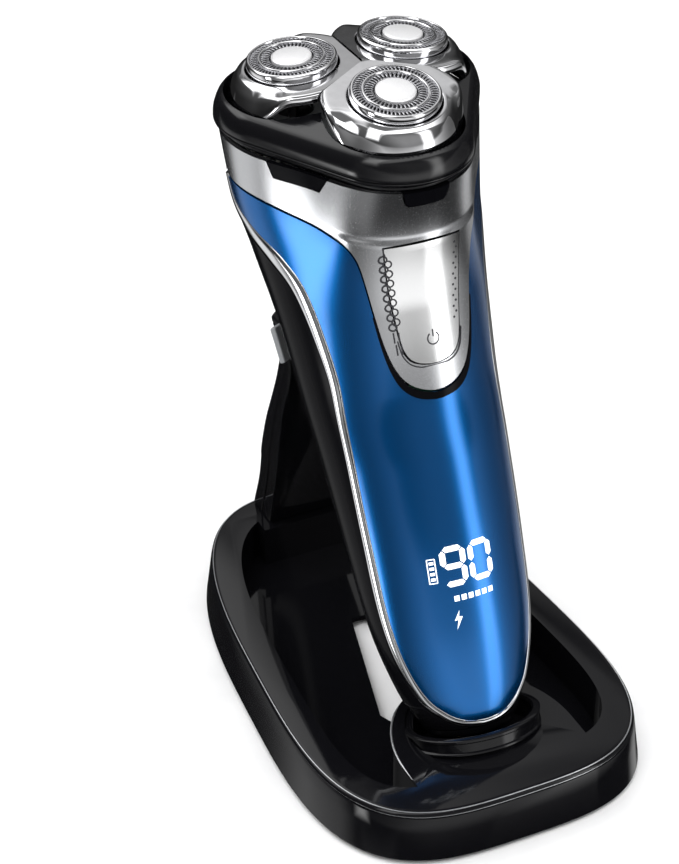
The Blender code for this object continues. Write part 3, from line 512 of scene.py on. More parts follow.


# Painted highlights on the stand's top edge: light beads on the outer lip and in the groove.
LIP_HIGHLIGHTS = {"outer": (-0.62, 14.02), "groove": (-0.3, 12.82)}  # growth of the outline, height
LIP_HIGHLIGHT_RADIUS, DECK_HIGHLIGHT_RADIUS = 0.13, 0.3


def make_edge_highlights():
    """Painted highlights: light beads for the double line round the stand's top edge, and for the line on
    the deck's left edge.
    """
    for name, (grow, height) in LIP_HIGHLIGHTS.items():
        loops = []
        for turn in full_turn(8):
            across, up = polar((0, 0), LIP_HIGHLIGHT_RADIUS, turn)
            loops.append(level(base_outline(grow + across), height + up))
        bead = loft_mesh(loops, closed=False)
        stand_piece(f"stand_lip_highlight_{name}", bead, finish="painted_edge_highlight")
    edge = [point for point in deck_outline() if point[0] < -12]
    edge = edge[:-1] + [(-DECK_HALF_WIDTH, DECK_CENTRE_Y - 2.5 - step) for step in (0, 1.5)]
    highlight_bead("deck_edge_highlight", edge, BASE_TOP - 0.12, DECK_HIGHLIGHT_RADIUS)


def highlight_bead(name, path, height, radius):
    """A fine light bead along a level line, thinning out towards its ends: a painted highlight."""
    loops = []
    for i, (x, y) in enumerate(path):
        before, after = path[max(0, i - 1)], path[min(len(path) - 1, i + 1)]
        length = math.dist(before, after)
        normal = ((before[1] - after[1]) / length, (after[0] - before[0]) / length)
        share = i / (len(path) - 1)
        r = radius * min(1.0, 0.15 + 5 * min(share, 1 - share))
        sides = [polar((0, height), r, turn) for turn in full_turn(8)]
        loops.append([(x + normal[0] * out, y + normal[1] * out, z) for out, z in sides])
    stand_piece(name, loft_mesh(loops), finish="painted_edge_highlight")


COLLAR_WALL = 1.5
# growth of the collar's oval, station: up the outside with its two ribs, then down the inside
COLLAR_PROFILE = [
    (0.1, 0.35), (0.45, 0.55), (0.45, 0.95), (0.05, 1.25), (0.15, 3.3), (0.6, 3.7), (0.65, 4.25), (0.2, 4.6),
    (0.55 - COLLAR_WALL, 4.6), (-COLLAR_WALL, 4.0), (-COLLAR_WALL, 0.35),
]
PEDESTAL_PROFILE = [(0.0, -4.2), (0.0, -0.4), (-0.5, 0.15)]
BOSS_GROWTH, BOSS_BORE_GROWTH, BOSS_REACH, BOSS_STATION = 0.9, 0.45, 3.6, 0.4


def make_socket():
    loops = [tilted_oval(COLLAR, grow, station) for grow, station in COLLAR_PROFILE]
    stand_piece("socket_lip", loft_mesh(loops, closed=False), ["socket_collar"])
    loops = [tilted_oval(PEDESTAL, grow, station) for grow, station in PEDESTAL_PROFILE]
    stand_piece("socket_floor", loft_mesh(loops), ["socket_pedestal"])


def make_boss():
    """The boss that carries the collar, running out into the deck all round."""
    ground = BASE_TOP - 0.2
    loops = []
    for share in spread_out(0, 1, 8):
        loop = []
        for point in tilted_oval(PEDESTAL, BOSS_GROWTH + BOSS_REACH * (1 - share) ** 2, BOSS_STATION):
            above = point.z - ground
            height = ground + above * share if above > 0 else ground - 0.4 * (1 - share)
            loop.append(Vector((point.x, point.y - 0.4 * (point.z - height), height)))
        loops.append(loop)
    bore = tilted_oval(PEDESTAL, BOSS_BORE_GROWTH, BOSS_STATION)
    inner = [Vector((p.x, p.y, min(p.z, top.z))) for p, top in zip(bore, loops[-1])]
    bottom = [Vector((p.x, p.y, min(p.z, BASE_TOP - 0.6))) for p in inner]
    stand_piece("socket_boss", loft_mesh(loops + [inner, bottom], closed=False))


def back_of_shaver(across, height):
    """Y of the shaver's back at this place, with the saddle's clearance, or None beside the shaver."""
    before = None
    for angle in range(180, 80, -4):
        station, depth = height, 20.0
        for _ in range(6):
            station = round((height - SHAVER_FOOT[1] + math.sin(LEAN) * depth) / math.cos(LEAN), 6)
            depth = skin_point(station, angle, -SADDLE_CLEARANCE).y
        at = to_world(skin_point(station, angle, -SADDLE_CLEARANCE))
        if before is not None and at.x >= across:
            share = (across - before.x) / (at.x - before.x)
            return before.y + share * (at.y - before.y)
        before = at
    return None


TOWER_COLUMNS = 36


@functools.cache
def tower_section(height):
    """Front and rear Y across the tower at one level, as (across, front, rear)."""
    half_width, wing_front, wing_rear, centre_front, centre_rear = (
        interpolate(TOWER_LEVELS, k, height) for k in (1, 2, 3, 4, 5))
    points = []
    for across in spread_out(-1, 1, TOWER_COLUMNS):
        bend = abs(across) ** TOWER_CURVE
        front = centre_front - (centre_front - wing_front) * bend
        rear = centre_rear - (centre_rear - wing_rear) * bend
        back = back_of_shaver(abs(across) * half_width, height)
        if back is not None:
            front = max(front, back)
        points.append((across * half_width, front, max(rear, front + 3.2 * TOWER_WALL)))
    return points


def tower_loop(height, low, high, inset=0.0):
    """The tower's outline at one level, between two shares of its depth."""
    columns = tower_section(height)
    half = columns[-1][0]
    squeeze = (half - inset) / half
    front = [(x * squeeze, f + (r - f) * low + inset, height) for x, f, r in columns]
    rear = [(x * squeeze, f + (r - f) * high - inset, height) for x, f, r in columns]
    return front + rear[::-1]


TOWER_PARTING = (0.49, 0.51)  # shares of the depth at which the tower's two shells end
TOWER_CAP = [(0.1, 0.0), (0.9, 0.05), (1.4, 0.35), (1.6, 0.9)]  # height above the shells, inset


def make_tower():
    bottom, top = TOWER_LEVELS[0][0] - 0.25, TOWER_LEVELS[-1][0]
    heights = [round(h, 3) for h in spread_out(bottom, top, 30)]
    front = loft_mesh([tower_loop(h, 0.0, TOWER_PARTING[0]) for h in heights])
    stand_piece("tower_face", front, ["tower_front"], rounding=0.5)
    rear = loft_mesh([tower_loop(h, TOWER_PARTING[1], 1.0) for h in heights])
    stand_piece("tower_rear", rear, ["tower_back"], rounding=0.5)
    cap = [tower_loop(round(top + up, 3), 0.0, 1.0, inset) for up, inset in TOWER_CAP]
    stand_piece("tower_cap", loft_mesh(cap), ["tower_top"])


def make_pad():
    stations = spread_out(*PAD_STATIONS, 12)
    rows = rows_between(stations, lambda s: 180, lambda s: PAD_ANGLE, 30, lambda s, a: -1.8)
    mesh = skin_mesh(rows, 1.35)
    shown("pad_liner", mesh, "stand", "pad_rubber", ["saddle_pad"], rounding=0.4)


# Shaver body --------------------------
def make_bottom():
    loops = []
    for station, depth in ((2.2, 2.2), (2.2, 1.6), (2.35, 0.9), (2.75, 0.35), (3.3, 0.08), (4.6, 0.0)):
        loops.append([to_world(skin_point(station, 360 * i / 96, depth)) for i in range(96)])
    shown("shaver_foot", loft_mesh(loops), "shaver", "gloss_black", ["bottom_cap"])


def panel_depth(station, angle):
    """The control panel stands proud of the front, up to a curved ledge under the flare."""
    ledge = 122.4 + 3.0 * (angle / 38) ** 2
    fade = min(1.0, max(0.0, (ledge + 1.1 - station) / 2.2))
    middle = min(1.0, max(0.0, (47 - abs(angle)) / 13))
    return -PANEL_RISE * fade * fade * (3 - 2 * fade) * middle * middle * (3 - 2 * middle)


def make_front():
    """The blue front, up to the control panel's edge in the middle and beside the neck above."""
    bottom_bend = [6.2, 6.3, 6.5, 6.8, 7.2, 7.8, 8.6, 9.6, 11]
    panel_bend = [86.0, 86.3, 86.45, 86.6, 86.8, 87.1, 87.5, 88, 88.6, 89.4, 90.4, 91.6]
    stations = bottom_bend + spread_out(12.5, 85, 48) + panel_bend + spread_out(93, 139.1, 40)

    def inner(station):
        if station <= NECK_EDGE[0][0]:
            return 0
        return edge_angle(NECK_EDGE, station) + degrees_for(SEAM, station)

    rows = rows_between(stations, inner, lambda s: edge_angle(FRONT_EDGE, s), 30)
    mesh = skin_mesh(rows, SKIN)
    shown("blue_front", mesh, "shaver", "blue_front", ["front_shell"], rounding=0.2)


def edge_at(edge, at):
    """The station and angle this far along an edge, counted in its points."""
    numbered = [(i, *point) for i, point in enumerate(edge)]
    return [interpolate(numbered, column, at) for column in (1, 2)]


def edge_rows(inner_edge, outer_edge, count, gap, columns=6, rise=0.25):
    """Rows across a band between two edges with the same number of points, crowned in the middle."""
    rows = []
    for at in spread_out(0, len(inner_edge) - 1, count):
        inner, outer = edge_at(inner_edge, at), edge_at(outer_edge, at)
        length = math.hypot(outer[0] - inner[0], (outer[1] - inner[1]) * 0.35)
        start = [a + (b - a) * gap / length for a, b in zip(inner, outer)]
        row = []
        for t in spread_out(0, 1, columns):
            station, angle = (a + (b - a) * t for a, b in zip(start, outer))
            row.append(skin_point(station, angle, -rise * (1 - (2 * t - 1) ** 4)))
        rows.append(row)
    return rows


def make_trim():
    rows = edge_rows(FRONT_EDGE, TRIM_EDGE, 150, SEAM)
    mesh = skin_mesh([row[::-1] for row in with_middle(rows)][::-1], SKIN)
    shown("bright_trim", mesh, "shaver", "bright_trim", ["side_trim"], smooth=60)


def make_back():
    bottom_bend = [5.0, 5.2, 5.6, 6.2, 7, 8, 9.5, 11.5]
    stations = bottom_bend + spread_out(14, 141, 70) + spread_out(143, 157, 8)

    def inner(station):
        return edge_angle(TRIM_EDGE, station + 0.4) + degrees_for(SEAM, station)

    mesh = skin_mesh(rows_between(stations, inner, lambda s: 180, 30), SKIN, BODY_TOP - 0.5)
    shown("black_back", mesh, "shaver", "gloss_black", ["back_shell"], rounding=0.2)


def button_angle(station):
    return edge_angle(BUTTON_EDGE, station)


TAB_ANGLES = {"left": 210.0, "right": 330.0}
TAB_HALF_LENGTH, TAB_BOTTOM, TAB_SLANT = 8.5, 139.6, 2.6
TAB_SPAN = (6, 22)  # how far out from the head's middle the shape that cuts a tab reaches


def tab_mesh(side, grow):
    """A block that cuts a tab, or the opening for it, out of the neck: slanted at its ends."""
    half, low, high = TAB_HALF_LENGTH + grow, TAB_BOTTOM - grow, BODY_TOP + 0.9 + grow
    outline = [(-half, high), (-half + TAB_SLANT, low), (half - TAB_SLANT, low), (half, high)]
    turn = Matrix.Rotation(math.radians(TAB_ANGLES[side]), 4, "Z")
    place = Matrix.Translation(Vector((*HEAD_CENTRE, 0))) @ turn
    loops = [[place @ Vector((DISC_RING / 2 + out, y, z)) for y, z in outline] for out in TAB_SPAN]
    return loft_mesh(loops)


RELEASE_HALF = [(4.1, 139.4), (4.9, 140.1), (5.5, 142), (5.7, 144)]  # across and height, up one side


def release_mesh(grow):
    """A block that cuts the release button, or the opening for it, out of the neck's front."""
    right = [(x + grow, z - grow) for x, z in RELEASE_HALF]
    outline = [(-x, z) for x, z in reversed(right)] + right
    return loft_mesh([[(x, y, z) for x, z in outline] for y in (-16.0, 2.0)])


def make_neck():
    """The silver neck with the control panel's surround, and the two tabs and the release button in it."""
    panel_bend = [86.9, 87.0, 87.2, 87.5, 87.9, 88.5, 89.3, 90.3, 91.5]
    stations = panel_bend + spread_out(93, 127, 56) + spread_out(127.9, 141, 18) + spread_out(142, 157, 10)

    def outer(station):
        return edge_angle(NECK_EDGE, station - 0.5) - degrees_for(SEAM, station)

    def panel(sunk):
        return rows_between(stations, lambda s: 0, outer, 36, lambda s, a: panel_depth(s, a) - sunk)

    def opening_angle(station):
        return button_angle(station + 0.35) + 0.9

    opening_stations = [92.9] + spread_out(93.2, 121.9, 40)
    opening = rows_between(opening_stations, lambda s: 0, opening_angle, 8, lambda s, a: -1.6)
    cuts = [skin_mesh(opening, 4.6), release_mesh(0.2)] + [tab_mesh(side, 0.22) for side in TAB_ANGLES]
    neck = combined(skin_mesh(panel(0), 1.6), "DIFFERENCE", cuts)
    shown("silver_neck", neck, "shaver", "silver_satin", ["neck_shell"], rounding=0.32)
    for side in TAB_ANGLES:
        tab = combined(skin_mesh(panel(0.12), 1.3), "INTERSECT", [tab_mesh(side, 0)])
        shown(f"neck_tab_{side}", tab, "shaver", "dark_plastic", finish="dull_black_and_painted_shade", rounding=0.2)
    button = combined(skin_mesh(panel(0.2), 1.5), "INTERSECT", [release_mesh(0)])
    shown("release_tab", button, "release_button", "dark_plastic", ["release_button"], "dull_black_and_painted_shade",
          rounding=0.3)


def make_button():
    stations = [93.2, 93.3, 93.5, 93.8, 94.3, 95.0, 96.0] + spread_out(97.5, 121.7, 30)
    rows = rows_between(stations, lambda s: 0, button_angle, 14, lambda s, a: panel_depth(s, a) - 0.15)
    mesh = skin_mesh(rows, 1.8)
    shown("panel_button", mesh, "power_button", "button_silver", ["power_button"], rounding=0.35)


def head_outline(radius, arc_steps=30):
    """A triangle with round corners of this radius, one about each cutting unit."""
    outline = []
    for side, angle in DISC_ANGLES.items():
        for turn in spread_out(math.radians(angle - 60), math.radians(angle + 60), arc_steps):
            outline.append(polar(disc_centre(side), radius, turn))
    return outline


def disc_centre(side, distance=DISC_RING):
    return polar(HEAD_CENTRE, distance, math.radians(DISC_ANGLES[side]))


def make_collar():
    """The dark band between neck and shaving unit."""
    low, high = BODY_TOP + 0.25, BODY_TOP + 0.93
    inside = prism_mesh(head_outline(14.9), low - 2, low + 3)
    rear = box_mesh((0, 50, low), (60, 12, 8))
    ring = combined(prism_mesh(head_outline(16.4), low, high), "DIFFERENCE", [inside, rear])
    shown("neck_band", ring, "shaver", "dark_plastic", ["neck_collar"], rounding=0.2)


# Marks on the front -------------------
def front_patch(name, outlines, body, slot, finish=None, thickness=0.06, depth=lambda station: 0.0):
    """Flat outlines in across and station, laid on the front just proud of it."""

    def build(bm):
        for outline in outlines:
            count = len(outline)
            middle = [sum(p[k] for p in outline) / count for k in (0, 1)]
            low = bm.verts.new(on_front(*middle, depth(middle[1])))
            high = bm.verts.new(on_front(*middle, depth(middle[1]) - thickness))
            lows = [bm.verts.new(on_front(*p, depth(p[1]) + 0.1)) for p in outline]
            highs = [bm.verts.new(on_front(*p, depth(p[1]) - thickness)) for p in outline]
            for i in range(count):
                j = (i + 1) % count
                bm.faces.new((low, lows[j], lows[i]))
                bm.faces.new((high, highs[i], highs[j]))
                bm.faces.new((lows[i], lows[j], highs[j], highs[i]))

    return shown(name, mesh_from(build), body, slot, finish=finish)


SEGMENTS = {"9": "abcdfg", "0": "abcdef"}
DIGIT_WIDTH, DIGIT_HEIGHT, DIGIT_STROKE, DIGIT_GAP = 4.8, 8.4, 1.35, 0.2
DIGIT_PLACES = {"9": (-6.0, 41.5), "0": (0.8, 41.5)}  # lower left corner: across, station


def bar_outline(start, end):
    """A hexagonal bar, as distances along and off its middle line."""
    half = DIGIT_STROKE / 2
    a, b = start + DIGIT_GAP, end - DIGIT_GAP
    return [(a, 0), (a + half, -half), (b - half, -half), (b, 0), (b - half, half), (a + half, half)]


def segment_outlines(digit, left, bottom):
    """The lit bars of one seven-segment digit."""
    right, top, middle = left + DIGIT_WIDTH, bottom + DIGIT_HEIGHT, bottom + DIGIT_HEIGHT / 2
    flat = {"a": top, "g": middle, "d": bottom}
    upright = {"f": (left, middle, top), "b": (right, middle, top), "e": (left, bottom, middle),
               "c": (right, bottom, middle)}
    outlines = []
    for name in SEGMENTS[digit]:
        if name in flat:
            outlines.append([(along, flat[name] + off) for along, off in bar_outline(left, right)])
        else:
            across, low, high = upright[name]
            outlines.append([(across - off, along) for along, off in bar_outline(low, high)])
    return outlines


def block(left, bottom, width, height):
    return [(left, bottom), (left + width, bottom), (left + width, bottom + height), (left, bottom + height)]


# The battery sign's case and its bars, the row of dashes, and the bolt in three pieces
CELL = [(-9.5, 42.4), (-7.8, 42.4), (-7.8, 48.2), (-9.5, 48.2), (-9.5, 42.4)]
CELL_BARS, CELL_LINE = (43.0, 44.3, 45.6, 46.9), 0.22
DASHES, DASH_STEP, FIRST_DASH = 6, 1.75, (-4.6, 37.2)
BOLT = [
    [(-3.9, 34.9), (-5.2, 32.6), (-4.3, 32.7)], [(-4.2, 33.2), (-4.9, 30.4), (-3.3, 33.3)],
    [(-5.2, 32.6), (-3.3, 33.3), (-4.2, 33.5), (-4.9, 33.1)],
]


def make_display():
    digits = sum((segment_outlines(digit, *place) for digit, place in DIGIT_PLACES.items()), [])
    front_patch("display_digits", digits, "shaver", "display_light")
    bars = [block(-9.1, station, 0.95, 0.7) for station in CELL_BARS]
    dashes = [block(FIRST_DASH[0] + DASH_STEP * i, FIRST_DASH[1], 1.2, 1.3) for i in range(DASHES)]
    marks = bars + ribbon(CELL, CELL_LINE) + dashes + BOLT
    front_patch("display_marks", marks, "shaver", "display_light")


def arc_band(centre, radius, width, start, stop, steps):
    """A ring or part of one, as short quads."""
    quads = []
    turns = spread_out(math.radians(start), math.radians(stop), steps)
    for a, b in zip(turns, turns[1:]):
        corners = ((radius, a), (radius + width, a), (radius + width, b), (radius, b))
        quads.append([polar(centre, r, turn) for r, turn in corners])
    return quads


def ribbon(points, width):
    """A line of this width through the points, as one quad for each stretch."""
    quads = []
    for (x0, y0), (x1, y1) in zip(points, points[1:]):
        length = math.hypot(x1 - x0, y1 - y0)
        ox, oy = -(y1 - y0) / length * width / 2, (x1 - x0) / length * width / 2
        quads.append([(x0 + ox, y0 + oy), (x1 + ox, y1 + oy), (x1 - ox, y1 - oy), (x0 - ox, y0 - oy)])
    return quads


PRINT_DEPTH, PRINT_THICKNESS, PRINT_LINE = 0.16, 0.03, 0.34
ICON_CENTRE, ICON_RADIUS = (0.2, 98.9), 1.25
LINKS, LINK_STEP, LINK_RADIUS, LINK_SWAY = 15, 1.15, 0.66, 0.42
DOTS, DOT_STEP, DOT_RADIUS, DOT_SWAY = 15, 1.25, 0.3, 0.35


def printed(name, outlines, body, slot):
    """Dark print on the control panel."""

    def depth(station):
        return panel_depth(station, 0) - PRINT_DEPTH

    front_patch(name, outlines, body, slot, "dark_print_and_shade", PRINT_THICKNESS, depth)


def make_panel_marks():
    """Power sign, braided pattern with its outline, and dots on the control panel."""
    x, y = ICON_CENTRE
    icon = arc_band(ICON_CENTRE, ICON_RADIUS, PRINT_LINE, 125, 415, 26)
    icon += ribbon([(x, y + 0.4), (x, y + 2.1)], 0.36)
    printed("power_icon", icon, "power_button", "button_silver")
    braid = ribbon([(-9.6, 122.2), (-9.2, 119.9)], PRINT_LINE)
    for i in range(LINKS):
        middle = (-9.25 + 0.075 * i + (LINK_SWAY if i % 2 else -LINK_SWAY), 119.2 - LINK_STEP * i)
        braid += arc_band(middle, LINK_RADIUS, PRINT_LINE, 0, 360, 12)
    for i in range(2):
        station = 100.6 - 2.9 * i
        for across in (-8.7 + 0.3 * i, -7.6 + 0.3 * i):
            braid += ribbon([(across, station + 1.2), (across + 0.1, station - 1.2)], 0.3)
    edge = [(button_angle(s) / degrees_for(1.0, s) + 0.9, s - 0.8) for s in spread_out(93.5, 100.5, 16)]
    braid += ribbon([(-x, y) for x, y in reversed(edge)] + edge, 0.26)
    printed("panel_braid", braid, "shaver", "silver_satin")
    dots = []
    for i in range(DOTS):
        middle = (8.1 - 0.1 * i + (DOT_SWAY if i % 2 else -DOT_SWAY), 119.8 - DOT_STEP * i)
        dots.append(circle(middle, DOT_RADIUS, 8))
    printed("panel_dots", dots, "power_button", "button_silver")


# Painted shade: a dark strip along the control panel's lower edge, where the raised panel shades the front.
PANEL_SHADE_EDGE = [(84.7, 2), (85.3, 9), (86.6, 15), (89.3, 20.6), (94.0, 24.6), (99.6, 26.9), (105.9, 28.4)]
PANEL_SHADE_RISE, PANEL_SHADE_THICKNESS = 0.32, 0.4


def make_panel_shade():
    """A dark strip under the control panel's lower edge: painted shade beneath the raised panel."""
    rows = with_middle(edge_rows(PANEL_SHADE_EDGE, NECK_EDGE[:len(PANEL_SHADE_EDGE)], 60, 0.0, 4, 0.0))
    rows = [[Vector((p.x, p.y - PANEL_SHADE_RISE, p.z)) for p in row] for row in rows]
    mesh = skin_mesh(rows, PANEL_SHADE_THICKNESS)
    shown("panel_shade_strip", mesh, "shaver", "gloss_black", finish="dull_black_and_painted_shade")


def make_edge_line():
    """The fine bright line round the blue front."""
    inner = [(station + 0.45 / (1 + angle / 12), angle - degrees_for(0.42, station))
             for station, angle in FRONT_EDGE]
    rows = with_middle(edge_rows(inner, FRONT_EDGE, 150, 0.0, 4, 0.12))
    mesh = skin_mesh([row[::-1] for row in rows][::-1], 0.4)
    shown("edge_line", mesh, "shaver", "bright_trim", smooth=60)


# Shaving unit -------------------------
# height, radius of the outline's corners: skirt, groove, rim and dome
HEAD_PROFILE = [
    (144.2, 16.7), (144.35, 17.0), (145.0, 17.35), (145.15, 17.9), (145.3, 18.3), (145.55, RIM_RADIUS),
    (145.75, 18.35), (145.85, 18.05), (146.0, 18.05), (146.1, 18.35), (146.6, 18.38), (147.6, 18.25),
    (149.0, 17.85), (150.2, 17.35), (151.0, 16.8), (151.5, 16.0), (152.3, 14.0), (153.0, 12.0), (153.4, 9.0),
]


def make_head():
    solid = loft_mesh([level(head_outline(radius), height) for height, radius in HEAD_PROFILE])
    cuts = [prism_mesh(circle(disc_centre(side), WELL_RADIUS, 128), 130, 170) for side in SIDES]
    cuts.append(box_mesh((0, 50, 145), (9, 16, 6)))
    mesh = combined(solid, "DIFFERENCE", cuts)
    shown("head_housing", mesh, "shaving_unit", "head_black", ["head_base"], rounding=0.25)


def sector_mesh(side):
    """The third of the head that one petal fills, short of the gaps beside it."""
    apex = disc_centre(side, PETAL_GAP / math.sin(math.radians(60)))
    corners = [polar(apex, 60, math.radians(DISC_ANGLES[side] + turn)) for turn in (-60, 0, 60)]
    return prism_mesh([apex] + corners, 120, 180)


def tilted(side):
    """The lean of one cutting unit, outwards about a line through its pivot, in millimetres."""
    angle = math.radians(DISC_ANGLES[side])
    pivot = Vector((*disc_centre(side), TILT_PIVOT))
    turn = Matrix.Rotation(math.radians(PETAL_TILT[side]), 4, (-math.sin(angle), math.cos(angle), 0))
    return Matrix.Translation(pivot) @ turn @ Matrix.Translation(-pivot)


def petal_section(turn):
    """The petal's section at this many degrees from outwards."""
    share = min(1.0, max(0.0, (abs(turn) - SKIRT_REACH[0]) / (SKIRT_REACH[1] - SKIRT_REACH[0])))
    share = share * share * (3 - 2 * share)
    blend = [
        (skirt[0] + (plate[0] - skirt[0]) * share, PETAL_TOP + skirt[1] + (plate[1] - skirt[1]) * share)
        for skirt, plate in zip(SKIRT_PROFILE, PLATE_PROFILE)
    ]
    return rounded(blend, 0.3)


def make_petal(side):
    loops = []
    for turn in range(-180, 180, 2):
        angle = math.radians(DISC_ANGLES[side] + turn)
        loops.append([(*polar(disc_centre(side), r, angle), z) for r, z in petal_section(turn)])
    mesh = loft_mesh(loops, closed=False)
    mesh.transform(tilted(side))
    mesh = combined(mesh, "INTERSECT", [sector_mesh(side)])
    shown(f"petal_{side}_shell", mesh, f"petal_{side}", "chrome", [f"petal_{side}"], rounding=0.3)


# Tracks of a cap, as radius, height and whether slots cut the foil from there to the next
INNER_TRACK = [
    (4.9, 159.2, False), (5.1, 159.6, True), (5.6, 159.75, True), (6.6, 159.75, True), (6.95, 159.6, False),
    (7.05, 159.3, False),
]
OUTER_TRACK = [
    (7.7, 159.3, False), (7.85, 159.6, True), (8.2, 159.7, True), (9.1, 159.65, True), (9.45, 159.45, False),
    (9.55, 159.1, False),
]
INNER_SLOTS, OUTER_SLOTS, OUTER_SLANT = 42, 62, 0.5
FOIL_THICKNESS = 0.25
# Turned pieces of a cap: finish and profile
CAP_RINGS = {
    "ridge": ("chrome", [
        (6.95, 159.1), (7.0, 159.75), (7.2, 160.0), (7.55, 160.0), (7.75, 159.75), (7.8, 159.1),
    ]),
    "rim": ("chrome", [
        (9.4, 158.8), (9.42, 159.5), (9.6, 159.85), (9.95, 159.85), (10.3, 159.5), (10.4, 158.9),
        (10.4, 157.0), (9.9, 157.0), (9.7, 158.6),
    ]),
    # A dark disc under the slots: painted shade where the cutters sit.
    "slot_shade": ("dark_print_and_shade", [(4.7, 158.75), (4.7, 158.95), (9.6, 158.95), (9.6, 158.75)]),
    "hub": ("hub_silver", [
        (0.01, 159.1), (0.01, 160.1), (4.0, 160.1), (4.35, 160.02), (4.6, 159.8), (4.65, 159.1),
    ]),
}


def slotted_track(bm, centre, rings, slots, slant):
    """A ring of thin foil whose flat middle is cut by slots; rings are (radius, height, is cut)."""
    count = slots * 2
    grid = []
    for radius, height, _ in rings:
        lean = slant * (radius - rings[0][0])
        turns = [2 * math.pi * (i + lean) / count for i in range(count)]
        grid.append([bm.verts.new((*polar(centre, radius, turn), height)) for turn in turns])
    for k in range(len(rings) - 1):
        for i in range(count):
            if rings[k][2] and i % 2 == 0:
                continue
            j = (i + 1) % count
            bm.faces.new((grid[k][i], grid[k + 1][i], grid[k + 1][j], grid[k][j]))


def make_cap(side):
    """A shaving cap: two tracks of real slots with a raised ring between them, in a bright outer ring."""
    centre = disc_centre(side)

    def build(bm):
        slotted_track(bm, centre, INNER_TRACK, INNER_SLOTS, 0.0)
        slotted_track(bm, centre, OUTER_TRACK, OUTER_SLOTS, OUTER_SLANT)

    mesh = mesh_from(build, outwards=False)
    mesh.transform(tilted(side))
    cap = shown(f"cap_{side}_foil", mesh, f"petal_{side}", "cap_steel", [f"cutter_cap_{side}"], smooth=50)
    solidify = cap.modifiers.new("thickness", "SOLIDIFY")
    solidify.thickness = FOIL_THICKNESS * MM
    for name, (finish, profile) in CAP_RINGS.items():
        mesh = turned_mesh(profile if name == "hub" else rounded(profile, 0.2), centre)
        mesh.transform(tilted(side))
        replaced = [f"trim_disc_{side}"] if name == "hub" else []
        shown(f"cap_{side}_{name}", mesh, f"petal_{side}", "chrome", replaced, finish)


# Finishes on the frame's own pieces ---
def finish_frame():
    slots = {part["node"]: part["material_slot"] for part in frame["record"]["subparts"]}
    for name, obj in frame["nodes"].items():
        finish = finishes[slots[name]]
        for slot in obj.material_slots:
            slot.material = finish
        obj.data.shade_smooth()
        obj.data.set_sharp_from_angle(angle=math.radians(35))


# Studio -------------------------------
def make_floor():
    bpy.ops.mesh.primitive_plane_add(size=6, location=(0, 0, -0.0002))
    floor = bpy.context.object
    floor.name = "floor"
    floor.data.materials.append(paint("pale floor", (0.93, 0.93, 0.94), 0.6, scale=60))
    floor.visible_glossy = False


FILL_PLACE, FILL_SIZE, FILL_POWER = (0.1, -0.2, 1.5), 2.2, 22


def make_fill():
    """A broad light from above, pointed at the middle, which the shiny pieces don't show."""
    data = bpy.data.lights.new("fill", "AREA")
    data.energy = FILL_POWER
    data.size = FILL_SIZE
    light = bpy.data.objects.new("fill", data)
    light.location = FILL_PLACE
    light.rotation_euler = (-Vector(FILL_PLACE)).to_track_quat("-Z", "Y").to_euler()
    light.visible_glossy = False
    bpy.context.scene.collection.objects.link(light)


# Soft boxes as seen from the middle: azimuth, elevation, half width, half height, strength, softness
SOFT_BOXES = [
    (10, 10, 32, 22, 0.2, 0.7),
    (8, -14, 46, 12, 0.95, 0.6),
    (36, 10, 7, 24, 3.0, 0.8),
    (-122, -30, 20, 12, 0.8, 0.5),
    (-84, -17, 5, 6, 6.5, 0.8),
    (150, 42, 26, 7, 0.42, 0.5),
    (156, 25, 30, 5, 0.28, 0.4),
    (-154, 58, 26, 12, 2.2, 0.6),
    (-136, 36, 18, 10, 2.4, 0.5),
    (-60, 45, 9, 20, 3.0, 0.4),
    (15, 66, 40, 10, 1.8, 0.4),
    (112, -38, 10, 12, 0.65, 0.7),
    (-66, -40, 14, 8, 0.3, 0.6),
]
STUDIO_LOW, STUDIO_HIGH = 0.015, 0.16


def towards(azimuth, elevation):
    """The direction at this azimuth from the front, -Y, and this elevation, both in degrees."""
    a, e = math.radians(azimuth), math.radians(elevation)
    return Vector((math.sin(a) * math.cos(e), -math.cos(a) * math.cos(e), math.sin(e)))


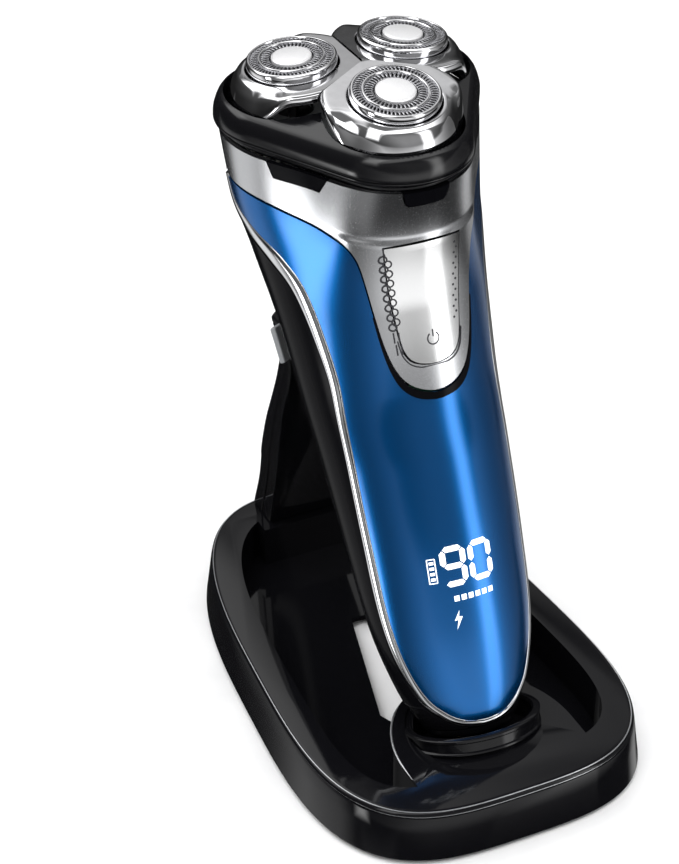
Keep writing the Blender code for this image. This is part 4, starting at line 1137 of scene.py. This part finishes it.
def make_studio():
    """A dim world with soft boxes, so that the shiny pieces have something to reflect."""
    world = bpy.data.worlds.new("studio")
    bpy.context.scene.world = world
    world.use_nodes = True
    nodes, links = world.node_tree.nodes, world.node_tree.links

    def math_node(operation, first, second):
        node = nodes.new("ShaderNodeMath")
        node.operation = operation
        for socket, value in zip(node.inputs, (first, second)):
            if isinstance(value, (int, float)):
                socket.default_value = value
            else:
                links.new(value, socket)
        return node.outputs[0]

    def ramp(value, low, high, out_low, out_high):
        node = nodes.new("ShaderNodeMapRange")
        node.interpolation_type = "SMOOTHSTEP"
        for name, limit in zip(("From Min", "From Max", "To Min", "To Max"), (low, high, out_low, out_high)):
            node.inputs[name].default_value = limit
        links.new(value, node.inputs["Value"])
        return node.outputs["Result"]

    direction = nodes.new("ShaderNodeTexCoord").outputs["Generated"]

    def along(axis):
        node = nodes.new("ShaderNodeVectorMath")
        node.operation = "DOT_PRODUCT"
        links.new(direction, node.inputs[0])
        node.inputs[1].default_value = axis
        return node.outputs["Value"]

    total = ramp(along((0, 0, 1)), -0.2, 1.0, STUDIO_LOW, STUDIO_HIGH)
    for azimuth, elevation, half_width, half_height, strength, softness in SOFT_BOXES:
        forward = towards(azimuth, elevation)
        side = towards(azimuth + 90, 0)
        upward = forward.cross(side)
        x = math_node("DIVIDE", math_node("ABSOLUTE", along(side), 0), math.sin(math.radians(half_width)))
        y = math_node("DIVIDE", math_node("ABSOLUTE", along(upward), 0), math.sin(math.radians(half_height)))
        mask = ramp(math_node("MAXIMUM", x, y), 1 - softness, 1 + softness, strength, 0.0)
        facing = math_node("GREATER_THAN", along(forward), 0.0)
        total = math_node("ADD", total, math_node("MULTIPLY", mask, facing))
    nodes["Background"].inputs["Color"].default_value = (1, 1, 1, 1)
    links.new(total, nodes["Background"].inputs["Strength"])


def make_camera():
    target = Vector(CAMERA_TARGET) * MM
    away = towards(CAMERA_AZIMUTH, CAMERA_ELEVATION)
    data = bpy.data.cameras.new("camera")
    data.lens = CAMERA_LENS
    data.sensor_width = 36
    data.clip_start = 0.01
    camera = bpy.data.objects.new("camera", data)
    camera.matrix_world = (
        Matrix.Translation(target + away * CAMERA_DISTANCE * MM)
        @ (-away).to_track_quat("-Z", "Y").to_matrix().to_4x4()
        @ Matrix.Rotation(math.radians(CAMERA_ROLL), 4, "Z")
    )
    bpy.context.scene.collection.objects.link(camera)
    bpy.context.scene.camera = camera


finishes = make_materials()
finish_frame()
make_base()
make_edge_highlights()
make_socket()
make_boss()
make_tower()
make_pad()
make_bottom()
make_front()
make_trim()
make_edge_line()
make_back()
make_neck()
make_button()
make_panel_shade()
make_collar()
make_display()
make_panel_marks()
make_head()
for disc in SIDES:
    make_petal(disc)
    make_cap(disc)
make_floor()
bpy.context.scene.view_settings.view_transform = "Standard"
make_studio()
make_fill()
make_camera()
